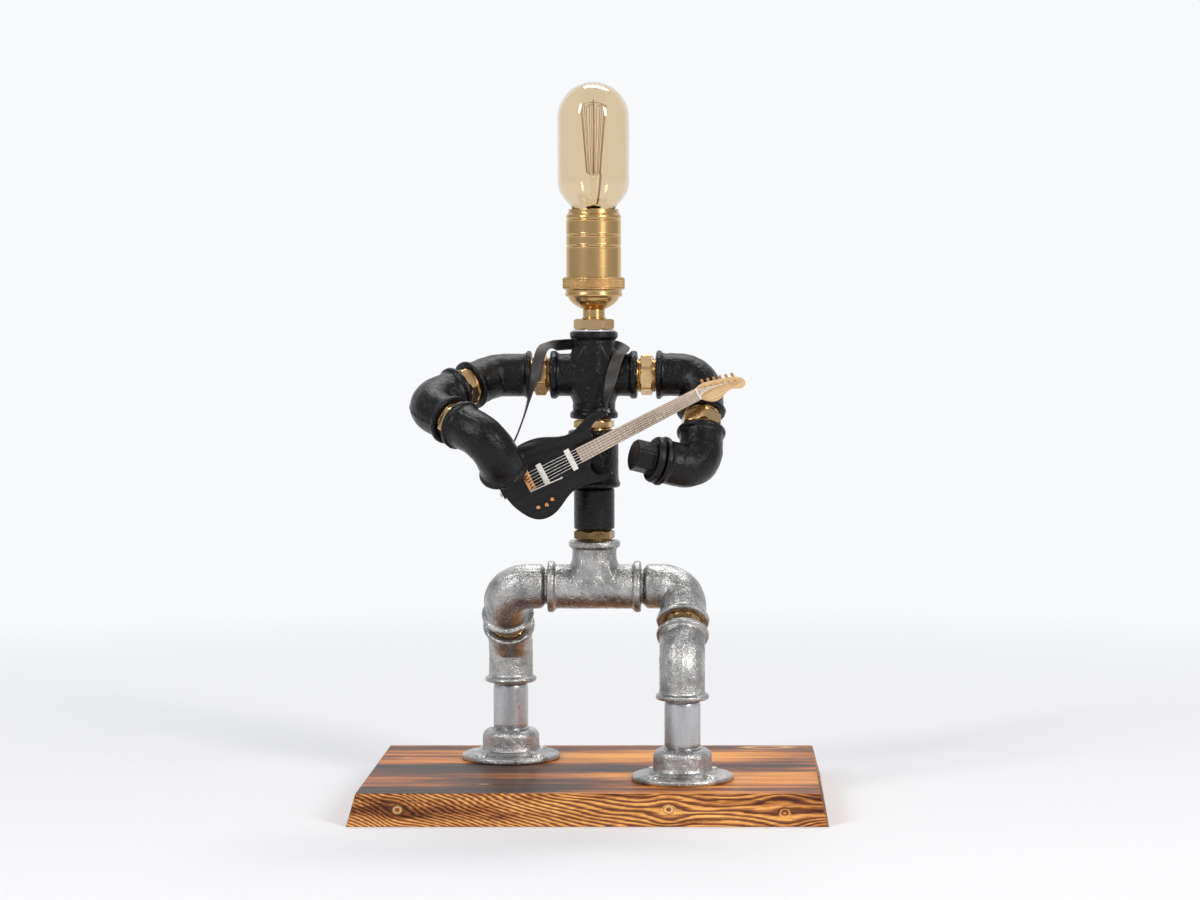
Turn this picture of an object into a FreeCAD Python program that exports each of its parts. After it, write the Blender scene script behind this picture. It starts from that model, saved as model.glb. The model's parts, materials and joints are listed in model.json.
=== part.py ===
import FreeCAD, Part
import math
import os

# A table lamp made of half-inch pipe fittings: a seated figure with a bulb for a head,
# two legs on floor flanges, and two arms round a miniature guitar on a strap.
# Millimetres, +Z up, +X to the viewer's right, -Y towards the viewer.
# The origin is the middle of the wooden base's underside.

Vec = FreeCAD.Vector
UP = Vec(0, 0, 1)
DOWN = Vec(0, 0, -1)
LEFT = Vec(-1, 0, 0)
RIGHT = Vec(1, 0, 0)
FRONT = Vec(0, -1, 0)
BACK = Vec(0, 1, 0)

# Wooden base
base_length = 277.0
base_depth = 192.0
base_height = 18.5
base_bevel = 5.0
lead_hole_r = 4.5
lead_channel_z = 8.5

# Half-inch pipe thread and tube
tube_r = 10.65
tube_bore_r = 8.0
thread_r = 10.4
thread_gap = 0.08
socket_depth = 12.0
socket_taper = 1.0
screwed_in = 11.5
run_out = 1.5

# Galvanised fittings of the legs
grey_body_r = 13.3
grey_bead_r = 15.5
grey_reach = 28.0
grey_reach_45 = 22.0
street_reach = 37.0
bend_r = 14.0
bend_r_45 = 15.0
leg_slope = 45.0
leg_tube_seen = 29.0
knee_gap = 7.5

# Black fittings of the torso and arms
black_body_r = 12.7
black_bead_r = 14.4
black_reach = 27.2
black_reach_45 = 21.5
cross_reach = 26.0
bead_width = 4.6
bead_round = 1.3
web_height = 3.2

# Floor flanges
flange_r = 30.2
flange_rim = 3.4
hub_r = 17.4
hub_height = 18.5
screw_circle_r = 23.8
screws_per_flange = 4
screw_r = 1.8
screw_head_r = 3.7
screw_head_height = 2.2
screw_length = 15.0
screw_gap = 0.1

# Brass hexagon nipples
hex_flats = 22.0
hex_length = 7.0
short_hex_length = 4.4
nipple_bore_r = 7.6
shoulder_gap = 11.2
strum_elbow_gap = 8.7
strum_wrist_gap = 6.0
fret_elbow_gap = 11.0
waist_gap = 6.8
chest_gap = 6.9

# Torso
sleeve_r = 12.2
sleeve_seen = 25.0
coupling_r = 14.6
coupling_bead_r = 15.5
coupling_length = 34.6
coupling_bead = 4.0

# Arm swivel angles in the pose of the photograph, in degrees
strum_shoulder_turn = 24.0
strum_elbow_turn = -18.8
strum_wrist_turn = -49.3
fret_shoulder_turn = 32.5
fret_elbow_turn = 153.8

# Plug that stands for the fretting hand
plug_flange_r = 13.6
plug_flange = 5.0
plug_head_flats = 17.0
plug_head = 12.0

# Lamp holder
washer_r = 13.0
washer_height = 1.2
bushing_flats = 21.5
bushing_height = 6.3
stem_r = 6.6
stem_thread_r = 4.9
stem_bore_r = 3.7
stem_seen = 6.0
cap_r = 16.8
cap_height = 11.3
cap_wall = 1.1
ring_r = 18.6
ring_height = 7.8
shell_r = 16.35
shell_height = 40.5
shell_wall = 0.7
shell_lip_r = 14.9
shell_lip = 2.5
shell_groove = 0.8
shell_groove_heights = (18.5, 25.0, 34.5)
holder_gap = 0.15
insulator_r = 14.6
thread_shell_r = 13.9
thread_shell_wall = 0.5
thread_shell_height = 24.0
insulator_height = 13.0
locknut_flats = 14.0
locknut_height = 3.0
terminal_r = 2.0

# Bulb
bulb_r = 21.4
bulb_neck_r = 12.4
bulb_shoulder = 15.0
bulb_swell = 5.3
bulb_total = 108.0
bulb_above_holder = 75.5
glass_wall = 0.8
bulb_cap_r = 13.1
bulb_cap_height = 22.0
bulb_cap_wall = 0.4
vitrite_height = 3.6
eyelet_r = 4.6
eyelet_height = 1.6
mount_r = 3.4
mount_height = 28.0
flare_r = 9.5
filament_wire = 0.35
filament_low_r = 4.2
filament_high_r = 7.6
filament_runs = 14
filament_sweep = 330.0
filament_length = 40.0
support_wire_r = 0.35

# Miniature guitar, in its own plane: u along the neck, v up across it, w towards the viewer
guitar_x = -35.8
guitar_z = 194.7
guitar_front = 28.9
guitar_slant = 27.3
guitar_body = 9.0
guitar_upper = (
    (44.0, 6.6), (43.9, 9.2), (46.4, 12.0), (51.5, 13.6), (56.6, 14.6), (57.2, 16.3), (54.6, 18.1),
    (48.5, 18.4), (41.0, 16.3), (33.8, 14.1), (26.7, 15.0), (16.5, 19.6), (6.5, 21.6), (-3.0, 20.6),
    (-11.0, 16.2), (-16.6, 8.0), (-18.2, 0.0),
)
guitar_lower = (
    (-18.2, 0.0), (-17.2, -6.8), (-13.4, -15.8), (-8.2, -22.0), (-1.5, -24.3), (5.8, -23.1), (12.3, -19.9),
    (18.4, -17.4), (25.0, -17.1), (35.4, -19.4), (42.0, -19.8), (44.2, -18.2), (42.8, -16.9),
    (36.6, -15.4), (34.2, -11.8), (35.6, -7.2),
)
neck_start = 31.6
nut_place = 110.4
neck_heel_width = 9.2
neck_nut_width = 7.4
neck_back = 2.3
neck_top = 1.0
board_thickness = 1.3
fret_count = 21
fret_width = 0.5
fret_height = 0.35
nut_width = 1.1
nut_height = 0.7
head_thickness = 2.3
headstock = (
    (0.0, 3.8), (4.2, 4.5), (10.0, 3.4), (18.0, 1.2), (24.0, -1.2), (27.2, -4.4), (27.0, -7.4), (24.0, -8.6),
    (19.8, -6.9), (15.4, -6.6), (11.6, -7.9), (7.2, -8.6), (3.4, -6.9), (0.0, -3.8),
)
pickup_places = (7.7, 26.4)
pickup_size = (3.4, 13.4, 1.5)
bridge_size = (4.4, 12.8, 1.0)
saddle_size = (2.6, 1.7, 1.9)
string_spacing = 1.9
nut_spacing = 1.05
string_r = 0.16
knob_places = ((-3.7, -16.1), (1.4, -17.1), (5.8, -15.7))
knob_r = 1.5
knob_height = 2.0
tremolo_r = 0.4
tremolo_start = (-3.2, -5.7)
tremolo_end = (17.4, -7.0)
tuner_start = 6.0
tuner_pitch = 3.5
tuner_fall = -0.95
tuner_post_r = 0.7
tuner_post_height = 1.3
tuner_body = (1.4, 4.0, 0.9)
tuner_button = (1.6, 1.8, 1.7)
button_r = 1.5
button_neck_r = 0.75
button_screw_r = 0.55
button_gap = 0.15
button_seat = 0.85
button_length = 2.4
screw_shank = 4.0
peg_gap = 0.3
stud_r = 2.0
stud_z = 206.0
stud_in_body = 4.0

# Leather strap
strap_width = 6.6
strap_thickness = 1.0
strap_tab = 2.8

# Two-core lead inside the pipes
lead_r = 3.0
lead_bend_r = 14.0
grommet_r = 6.2
grommet_flange = 1.4
grommet_length = 7.0


def rotated(vector, axis, degrees):
    return FreeCAD.Rotation(axis, degrees).multVec(vector)


def lay(shape, origin, direction, roll=0.0):
    """Turn a shape drawn along +Z so that it points along direction from origin."""
    turn = FreeCAD.Rotation(UP, direction).multiply(FreeCAD.Rotation(UP, roll))
    placed = shape.copy()
    placed.Placement = FreeCAD.Placement(origin, turn)
    return placed


def closed_face(points):
    return Part.Face(Part.makePolygon(list(points) + [points[0]]))


def turned(profile):
    """Revolve a closed (radius, height) outline about +Z."""
    face = closed_face([Vec(r, 0, z) for r, z in profile])
    return face.revolve(Vec(0, 0, 0), UP, 360)


def tube(outer_r, inner_r, low, high):
    return turned([(inner_r, low), (outer_r, low), (outer_r, high), (inner_r, high)])


def hexagon(flats, height):
    corner_r = flats / math.sqrt(3)
    corners = [rotated(Vec(corner_r, 0, 0), UP, 60 * k) for k in range(6)]
    prism = closed_face(corners).extrude(Vec(0, 0, height))
    dome = turned([
        (0, 0), (flats / 2, 0), (corner_r, height * 0.12), (corner_r, height * 0.88),
        (flats / 2, height), (0, height),
    ])
    return prism.common(dome)


def merged(*solids):
    whole = solids[0].fuse(list(solids[1:])).removeSplitter()
    return whole.Solids[0] if len(whole.Solids) == 1 else whole


def save(name, *solids):
    shape = solids[0] if len(solids) == 1 else Part.makeCompound(list(solids))
    shape.exportStep("parts/" + name + ".step")
    print(name, len(shape.Solids), "valid" if shape.isValid() else "NOT VALID", round(shape.Volume, 1))


def bead_profile(bead_r, reach):
    """Outline of the thickened rim at a fitting's mouth."""
    low = reach - bead_width
    return [(0, low), (bead_r - bead_round, low), (bead_r, low + bead_round), (bead_r, reach - bead_round * 0.6),
            (bead_r - bead_round * 0.6, reach), (0, reach)]


def socket(reach):
    """What a tapped mouth takes out of a fitting."""
    socket_r = thread_r + thread_gap
    return turned([(0, reach - socket_depth - socket_taper), (tube_bore_r, reach - socket_depth - socket_taper),
                   (socket_r, reach - socket_depth), (socket_r, reach + 1), (0, reach + 1)])


def bent_bar(ends, centre, radius, bar_r):
    """Round bar along two straight runs and the arc between them."""
    runs = [(end - centre).normalize() for end in ends]
    half = runs[0].getAngle(runs[1]) / 2
    tangents = [centre + run * (radius / math.tan(half)) for run in runs]
    middle = centre + (runs[0] + runs[1]).normalize() * (radius / math.sin(half))
    axis = (tangents[0] - middle).cross(tangents[1] - middle)
    disc = Part.Face(Part.Wire(Part.makeCircle(bar_r, tangents[0], runs[0])))
    bend = disc.revolve(middle, axis, 180.0 - math.degrees(2 * half))
    straights = [
        Part.makeCylinder(bar_r, (end - tangent).Length, tangent, run)
        for end, tangent, run in zip(ends, tangents, runs)
    ]
    return bend.fuse(straights)


def elbow(centre, mouths, reaches, body_r, bead_r, radius):
    """Cast elbow. A mouth without a bead is a street elbow's threaded end."""
    ends = [centre + mouth * (reach - 0.5 * bead_width) for mouth, reach in zip(mouths, reaches)]
    waterway = [centre + mouth * (reach + 1) for mouth, reach in zip(mouths, reaches)]
    street = reaches[0] > reaches[1] + 1
    if street:
        ends[0] = centre + mouths[0] * (reaches[0] - screwed_in - run_out)
    block = bent_bar(ends, centre, radius, body_r)
    for k, (mouth, reach) in enumerate(zip(mouths, reaches)):
        if street and k == 0:
            low = reach - screwed_in - run_out
            rim = turned([(0, low - 3), (body_r, low - 3), (body_r, low - 1), (thread_r, low + run_out),
                          (thread_r, reach), (0, reach)])
        else:
            rim = turned(bead_profile(bead_r, reach))
        block = block.fuse(lay(rim, centre, mouth))
    block = block.cut(bent_bar(waterway, centre, radius, tube_bore_r))
    for k, (mouth, reach) in enumerate(zip(mouths, reaches)):
        if not (street and k == 0):
            block = block.cut(lay(socket(reach), centre, mouth))
    return block.removeSplitter().Solids[0]


def black_elbow(centre, mouth_in, mouth_out, reach, radius):
    return elbow(centre, [mouth_in, mouth_out], [reach, reach], black_body_r, black_bead_r, radius)


def branched(centre, mouths, body_r, bead_r, reach):
    """Tee or cross: one straight run, and a web where a branch leaves it."""
    solids = []
    for mouth in mouths:
        outline = [(0, 0), (body_r, 0), (body_r, reach - bead_width)] + bead_profile(bead_r, reach)[1:]
        solids.append(lay(turned(outline), centre, mouth))
        if abs(mouth.z) > 0.5:
            skirt = turned([(0, 0), (body_r + web_height, 0), (body_r + web_height, body_r * 0.6),
                            (body_r - 0.3, body_r + web_height * 1.4), (0, body_r + web_height * 1.4)])
            solids.append(lay(skirt.common(web_slab(body_r)), centre, mouth))
    block = merged(*solids)
    for mouth in mouths:
        block = block.cut(lay(turned([(0, 0), (tube_bore_r, 0), (tube_bore_r, reach), (0, reach)]), centre, mouth))
        block = block.cut(lay(socket(reach), centre, mouth))
    return block.removeSplitter().Solids[0]


def web_slab(body_r):
    """The web lies within the thickness of the straight run."""
    return Part.makeBox(6 * body_r, 1.86 * body_r, 6 * body_r, Vec(-3 * body_r, -0.93 * body_r, -body_r))


def hex_nipple(face, direction, gap, hexagon_length, roll=0.0):
    """Hexagon nipple across a gap that starts at face."""
    reach = gap / 2 + screwed_in
    shank = tube(thread_r, nipple_bore_r, -reach, reach)
    nut = hexagon(hex_flats, hexagon_length)
    nut.translate(Vec(0, 0, -hexagon_length / 2))
    hole = Part.makeCylinder(nipple_bore_r, hexagon_length * 2, Vec(0, 0, -hexagon_length))
    body = merged(shank, nut.cut(hole))
    return lay(body, face + direction * (gap / 2), direction, roll)


def rounded_path(points, radius):
    """Straight runs joined by tangent arcs."""
    edges = []
    last = points[0]
    for k in range(1, len(points) - 1):
        corner = points[k]
        back = (points[k - 1] - corner).normalize()
        ahead = (points[k + 1] - corner).normalize()
        half = back.getAngle(ahead) / 2
        tangent = radius / math.tan(half)
        start = corner + back * tangent
        end = corner + ahead * tangent
        middle = corner + (back + ahead).normalize() * (radius / math.sin(half) - radius)
        edges.append(Part.makeLine(last, start))
        edges.append(Part.Arc(start, middle, end).toShape())
        last = end
    edges.append(Part.makeLine(last, points[-1]))
    return Part.Wire(edges)


def swept_tube(points, bend_radius, radius):
    path = rounded_path(points, bend_radius)
    section = Part.Wire(Part.makeCircle(radius, points[0], points[1] - points[0]))
    solid = path.makePipeShell([section], True, False)
    print("  tube: volume", round(solid.Volume), "against", round(math.pi * radius ** 2 * path.Length))
    return solid


# Places that the chain of fittings gives

slope = math.radians(leg_slope)
hip_x = grey_reach + street_reach - screwed_in
leg_run = grey_reach + knee_gap + grey_reach_45
knee_y = leg_run * math.sin(slope)
knee_z = base_height + hub_height + leg_tube_seen + grey_reach_45
hip_z = knee_z + leg_run * math.cos(slope)
tee_top = hip_z + grey_reach
sleeve_low = tee_top + waist_gap
coupling_low = sleeve_low + sleeve_seen
coupling_top = coupling_low + coupling_length
cross_low = coupling_top + chest_gap
chest_z = cross_low + cross_reach
cross_top = chest_z + cross_reach

hip = Vec(0, 0, hip_z)
chest = Vec(0, 0, chest_z)


def base():
    def rectangle(length, depth, z):
        x = length / 2
        y = depth / 2
        return Part.makePolygon([Vec(-x, -y, z), Vec(x, -y, z), Vec(x, y, z), Vec(-x, y, z), Vec(-x, -y, z)])

    bottom = rectangle(base_length, base_depth, 0)
    top = rectangle(base_length - 2 * base_bevel, base_depth - 2 * base_bevel, base_height)
    board = Part.makeLoft([bottom, top], True, True)
    corner, mouth = lead_route()[-2:]
    mouth_y = mouth.y
    run = [Vec(corner.x, corner.y, base_height + lead_bend_r), corner, mouth + Vec(0, base_depth, 0)]
    board = board.cut(swept_tube(run, lead_bend_r, lead_hole_r))
    recess = Part.makeCylinder(grommet_r + screw_gap, 20, Vec(-hip_x, mouth_y, lead_channel_z), BACK)
    board = board.cut(recess)
    for x, y in foot_places():
        for hole in screw_places(x, y):
            foot = hole + Vec(0, 0, base_height - screw_depth())
            pilot = Part.makeCylinder(screw_r + screw_gap, base_height, foot)
            board = board.cut(pilot)
    save("base_board", board.removeSplitter())


def grommet_seat_y():
    edge = base_depth / 2 - base_bevel * (lead_channel_z + grommet_r) / base_height
    return edge - grommet_flange


def grommet():
    bore_r = lead_r + screw_gap
    profile = [
        (bore_r, -grommet_length), (lead_hole_r - screw_gap, -grommet_length), (lead_hole_r - screw_gap, 0),
        (grommet_r, 0), (grommet_r, grommet_flange * 0.6), (grommet_r - 0.8, grommet_flange), (bore_r, grommet_flange),
    ]
    save("cable_grommet", lay(turned(profile), Vec(-hip_x, grommet_seat_y(), lead_channel_z), BACK))


def foot_places():
    return [(-hip_x, knee_y), (hip_x, -knee_y)]


def screw_places(x, y):
    step = 360.0 / screws_per_flange
    return [Vec(x, y, 0) + rotated(Vec(screw_circle_r, 0, 0), UP, step * (k + 0.5)) for k in range(screws_per_flange)]


def screw_depth():
    return screw_length - flange_rim


def twice(solid):
    """The front leg's piece, and the same piece turned half round for the rear leg."""
    other = solid.copy()
    other.rotate(Vec(0, 0, 0), UP, 180)
    return solid, other


def feet():
    socket_r = thread_r + thread_gap
    profile = [
        (tube_bore_r, 0), (flange_r, 0), (flange_r, flange_rim * 0.6), (flange_r - 1.4, flange_rim),
        (hub_r + 4.0, flange_rim + 1.2), (hub_r - 0.8, flange_rim + 4.4), (hub_r - 0.8, hub_height - bead_width),
        (hub_r, hub_height - bead_width + 0.8), (hub_r, hub_height - bead_round), (hub_r - bead_round, hub_height),
        (socket_r, hub_height), (socket_r, hub_height - socket_depth), (tube_bore_r, hub_height - socket_depth - 1),
    ]
    x, y = foot_places()[1]
    plate = lay(turned(profile), Vec(x, y, base_height), UP)
    screws = []
    for hole in screw_places(x, y):
        seat = turned([
            (0, -1), (screw_r + 0.5, -1), (screw_r + 0.5, flange_rim - screw_head_height),
            (screw_head_r + screw_gap, flange_rim + screw_gap), (screw_head_r + screw_gap, 9), (0, 9),
        ])
        plate = plate.cut(lay(seat, hole + Vec(0, 0, base_height), UP))
        screw = turned([
            (0, -screw_depth()), (screw_r * 0.5, -screw_depth()), (screw_r, -screw_depth() + 3),
            (screw_r, flange_rim - screw_head_height), (screw_head_r, flange_rim), (0, flange_rim),
        ])
        screws += twice(lay(screw, hole + Vec(0, 0, base_height), UP))
    save("foot_flanges", *twice(plate.removeSplitter()))
    save("foot_screws", *screws)


def legs():
    elbow_centre = hip + RIGHT * hip_x
    shin = (FRONT * math.sin(slope) + DOWN * math.cos(slope)).normalize()
    knee = elbow_centre + shin * leg_run
    hips = elbow(elbow_centre, [LEFT, shin], [street_reach, grey_reach], grey_body_r, grey_bead_r, bend_r)
    save("hip_elbows", *twice(hips))
    nipple = hex_nipple(elbow_centre + shin * grey_reach, shin, knee_gap, short_hex_length)
    save("knee_nipples", *twice(nipple))
    reach = grey_reach_45
    front, rear = twice(elbow(knee, [shin * -1, DOWN], [reach, reach], grey_body_r, grey_bead_r, bend_r_45))
    save("front_knee_elbow", front)
    save("rear_knee_elbow", rear)
    low = base_height + hub_height
    high = knee_z - grey_reach_45
    profile = [
        (tube_bore_r, low - screwed_in), (thread_r, low - screwed_in), (thread_r, low),
        (tube_r, low + run_out), (tube_r, high - run_out), (thread_r, high),
        (thread_r, high + screwed_in), (tube_bore_r, high + screwed_in),
    ]
    save("leg_pipes", *twice(lay(turned(profile), Vec(knee.x, knee.y, 0), UP)))


def torso():
    save("hip_tee", branched(hip, [LEFT, RIGHT, UP], grey_body_r, grey_bead_r, grey_reach))
    save("waist_nipple", hex_nipple(Vec(0, 0, tee_top), UP, waist_gap, waist_gap - 1.6, 15))
    socket_r = thread_r + thread_gap
    sleeve = [
        (socket_r, sleeve_low), (sleeve_r - 0.6, sleeve_low), (sleeve_r, sleeve_low + 0.6),
        (sleeve_r, coupling_low - run_out), (thread_r, coupling_low), (thread_r, coupling_low + screwed_in),
        (nipple_bore_r, coupling_low + screwed_in), (nipple_bore_r, sleeve_low + socket_depth + 1),
        (socket_r, sleeve_low + socket_depth),
    ]
    save("torso_sleeve", turned(sleeve))
    rib = coupling_bead
    outline = [
        (socket_r, coupling_low), (coupling_bead_r - bead_round, coupling_low),
        (coupling_bead_r, coupling_low + bead_round), (coupling_bead_r, coupling_low + rib),
        (coupling_r, coupling_low + rib + 1), (coupling_r, coupling_top - rib - 1),
        (coupling_bead_r, coupling_top - rib), (coupling_bead_r, coupling_top - bead_round),
        (coupling_bead_r - bead_round, coupling_top), (socket_r, coupling_top),
    ]
    hole = Part.makeCylinder(stud_r + screw_gap, 3 * coupling_r, Vec(0, -thread_r, stud_z), FRONT)
    save("torso_coupling", turned(outline).cut(hole))
    save("chest_nipple", hex_nipple(Vec(0, 0, coupling_top), UP, chest_gap, short_hex_length, 15))
    save("chest_cross", branched(chest, [LEFT, RIGHT, UP, DOWN], black_body_r, black_bead_r, cross_reach))


def across(direction):
    """Level and rising directions square to an arm's axis, from which its swivel is measured."""
    level = UP.cross(direction).normalize()
    return level, direction.cross(level)


def swivel(direction, degrees):
    level, rising = across(direction)
    angle = math.radians(degrees)
    return (level * math.cos(angle) + rising * math.sin(angle)).normalize()


def strum_arm():
    turn = math.radians(strum_shoulder_turn)
    reach = cross_reach + shoulder_gap
    nipple = hex_nipple(chest + RIGHT * cross_reach, RIGHT, shoulder_gap, hex_length, 10)
    save("shoulder_nipples", *twice(nipple))
    bow = FRONT * math.cos(turn) + DOWN * math.sin(turn)
    upper = (LEFT + bow).normalize()
    elbow_a = chest + LEFT * (reach + black_reach_45)
    save("strum_shoulder_elbow", black_elbow(elbow_a, RIGHT, upper, black_reach_45, bend_r_45))
    gap_start = elbow_a + upper * black_reach_45
    save("strum_elbow_nipple", hex_nipple(gap_start, upper, strum_elbow_gap, hex_length - 1.6, 20))
    fore = swivel(upper, strum_elbow_turn)
    elbow_b = gap_start + upper * (strum_elbow_gap + black_reach)
    save("strum_forearm_elbow", black_elbow(elbow_b, upper * -1, fore, black_reach, bend_r))
    gap_start = elbow_b + fore * black_reach
    save("strum_wrist_nipple", hex_nipple(gap_start, fore, strum_wrist_gap, short_hex_length, 5))
    hand = swivel(fore, strum_wrist_turn)
    elbow_c = gap_start + fore * (strum_wrist_gap + black_reach)
    save("strum_hand_elbow", black_elbow(elbow_c, fore * -1, hand, black_reach, bend_r))
    print("  strum joints", elbow_a, elbow_b, elbow_c, upper, fore, hand)


def fret_arm():
    turn = math.radians(fret_shoulder_turn)
    reach = cross_reach + shoulder_gap
    upper = (FRONT * math.sin(turn) + DOWN * math.cos(turn)).normalize()
    elbow_d = chest + RIGHT * (reach + black_reach)
    save("fret_shoulder_elbow", black_elbow(elbow_d, LEFT, upper, black_reach, bend_r))
    gap_start = elbow_d + upper * black_reach
    save("fret_elbow_nipple", hex_nipple(gap_start, upper, fret_elbow_gap, hex_length, 20))
    hand = swivel(upper, fret_elbow_turn)
    elbow_f = gap_start + upper * (fret_elbow_gap + black_reach)
    save("fret_hand_elbow", black_elbow(elbow_f, upper * -1, hand, black_reach, bend_r))
    mouth = elbow_f + hand * black_reach
    shank = Part.makeCylinder(thread_r, screwed_in + 1, Vec(0, 0, -screwed_in))
    collar = turned([
        (0, 0.5), (plug_flange_r - 0.8, 0.5), (plug_flange_r, 1.3), (plug_flange_r, plug_flange - 0.8),
        (plug_flange_r - 0.8, plug_flange), (0, plug_flange),
    ])
    head = hexagon(plug_head_flats, plug_head)
    head.translate(Vec(0, 0, plug_flange - 0.5))
    save("fret_hand_plug", lay(merged(shank, collar, head), mouth, hand, 12))
    print("  fret joints", elbow_d, elbow_f, upper, hand)


# Heights up the lamp holder and the bulb
washer_top = cross_top + washer_height
bushing_top = washer_top + bushing_height
cap_low = bushing_top + stem_seen
cap_top = cap_low + cap_height
ring_top = cap_top + ring_height
shell_top = ring_top + shell_height
bulb_top = shell_top + bulb_above_holder
eyelet_low = bulb_top - bulb_total
vitrite_low = eyelet_low + eyelet_height
bulb_cap_low = vitrite_low + vitrite_height
bulb_cap_top = bulb_cap_low + bulb_cap_height
contact_top = eyelet_low - 0.1


def holder():
    save("neck_washer", tube(washer_r, thread_r + thread_gap, cross_top, washer_top))
    nut = hexagon(bushing_flats, bushing_height)
    nut.translate(Vec(0, 0, washer_top))
    shank = Part.makeCylinder(thread_r, screwed_in, Vec(0, 0, washer_top - screwed_in))
    hole = Part.makeCylinder(stem_thread_r + thread_gap, 40, Vec(0, 0, cross_top - 20))
    save("neck_bushing", merged(nut, shank).cut(hole))
    stem_low = cross_top - screwed_in + washer_height
    locknut_low = cap_low + cap_wall
    stem_high = locknut_low + locknut_height + 1
    stem = turned([
        (stem_bore_r, stem_low), (stem_thread_r, stem_low), (stem_thread_r, bushing_top),
        (stem_r, bushing_top),
        (stem_r, cap_low), (stem_thread_r, cap_low), (stem_thread_r, stem_high), (stem_bore_r, stem_high),
    ])
    save("holder_stem", stem)
    nut = hexagon(locknut_flats, locknut_height).cut(Part.makeCylinder(stem_thread_r + thread_gap, 20))
    nut.translate(Vec(0, 0, locknut_low))
    save("holder_locknut", nut)
    outer = [
        (stem_thread_r + thread_gap, cap_low), (stem_r + 0.8, cap_low), (stem_r + 4.6, cap_low + 1.7),
        (cap_r - 3.2, cap_low + 4.0), (cap_r - 0.9, cap_low + 7.0), (cap_r, cap_low + 7.6), (cap_r, cap_top),
    ]
    inner = [
        (cap_r - cap_wall, cap_top), (cap_r - cap_wall - 0.9, cap_low + 7.2), (cap_r - 4.6, cap_low + 4.8),
        (stem_r + 3.6, cap_low + 2.8), (stem_r + 1.8, cap_low + cap_wall),
        (stem_thread_r + thread_gap, cap_low + cap_wall),
    ]
    save("holder_cap", turned(outer + inner))
    ring_low = cap_top + 0.1
    bore_r = shell_r + holder_gap
    save("holder_ring", turned([
        (bore_r, ring_low), (ring_r - 0.9, ring_low), (ring_r, ring_low + 0.9), (ring_r, ring_top - 0.9),
        (ring_r - 0.9, ring_top), (bore_r, ring_top),
    ]))
    groove = shell_groove
    shell = [(shell_r, cap_top + 0.2)]
    for height in shell_groove_heights:
        z = ring_top + height
        shell += [(shell_r, z - groove), (shell_r - groove * 0.7, z), (shell_r, z + groove)]
    rim = shell_top - shell_lip
    shell += [(shell_r, rim - 1.2), (shell_lip_r, rim), (shell_lip_r, shell_top)]
    inside = [(r - shell_wall, z) for r, z in reversed(shell)]
    save("holder_shell", turned(shell + inside))
    body_low = contact_top - insulator_height
    ledge = contact_top - 3.0
    save("holder_insulator", turned([
        (stem_bore_r, body_low), (insulator_r - 2, body_low), (insulator_r, body_low + 2),
        (insulator_r, contact_top + 4),
        (thread_shell_r + holder_gap, contact_top + 4), (thread_shell_r + holder_gap, ledge),
        (stem_bore_r, ledge),
    ]))
    wall = thread_shell_wall
    save("holder_thread_shell", turned([
        (thread_shell_r - 3, ledge), (thread_shell_r, ledge), (thread_shell_r, ledge + thread_shell_height),
        (thread_shell_r - wall, ledge + thread_shell_height), (thread_shell_r - wall, ledge + wall),
        (thread_shell_r - 3, ledge + wall),
    ]))
    leaf = Part.makeBox(15, 5, 0.6, Vec(-7.5, -2.5, ledge + 0.02))
    tongue = Part.makeBox(5, 5, contact_top - ledge, Vec(-2.5, -2.5, ledge + 0.02))
    leaf = merged(leaf, tongue.cut(Part.makeBox(6, 3.6, contact_top - ledge - 1.2, Vec(-3, -1.8, ledge + 0.62))))
    leaf = leaf.common(Part.makeCylinder(thread_shell_r - 3.4, 20, Vec(0, 0, ledge)))
    save("holder_contact", leaf)
    screws = [Part.makeCylinder(terminal_r, 2.4, Vec(x, 0, body_low - 2.4)) for x in (-8.5, 8.5)]
    save("terminal_screws", *screws)
    return body_low


def arc_edge(a, b, c):
    return Part.Arc(Vec(a[0], 0, a[1]), Vec(b[0], 0, b[1]), Vec(c[0], 0, c[1])).toShape()


def straight(a, b):
    return Part.makeLine(Vec(a[0], 0, a[1]), Vec(b[0], 0, b[1]))


def glass_outline(inset):
    """Half section of the tubular bulb from its crown down to its neck."""
    r = bulb_r - inset
    neck = bulb_neck_r - inset
    top = bulb_top - inset
    turn = math.cos(math.pi / 4)
    crown = bulb_top - bulb_r
    shoulder = shell_top + bulb_shoulder
    waist = (r - bulb_swell * 0.77, shell_top + bulb_shoulder * 0.38)
    edges = [
        arc_edge((0, top), (r * turn, crown + r * turn), (r, crown)),
        straight((r, crown), (r, shoulder)),
        arc_edge((r, shoulder), (r - bulb_swell * 0.25, shell_top + bulb_shoulder * 0.68), waist),
        straight(waist, (neck, shell_top - 0.6)),
        straight((neck, shell_top - 0.6), (neck, bulb_cap_top - 6.0)),
    ]
    return edges, (neck, bulb_cap_top - 6.0), (0, top)


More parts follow.
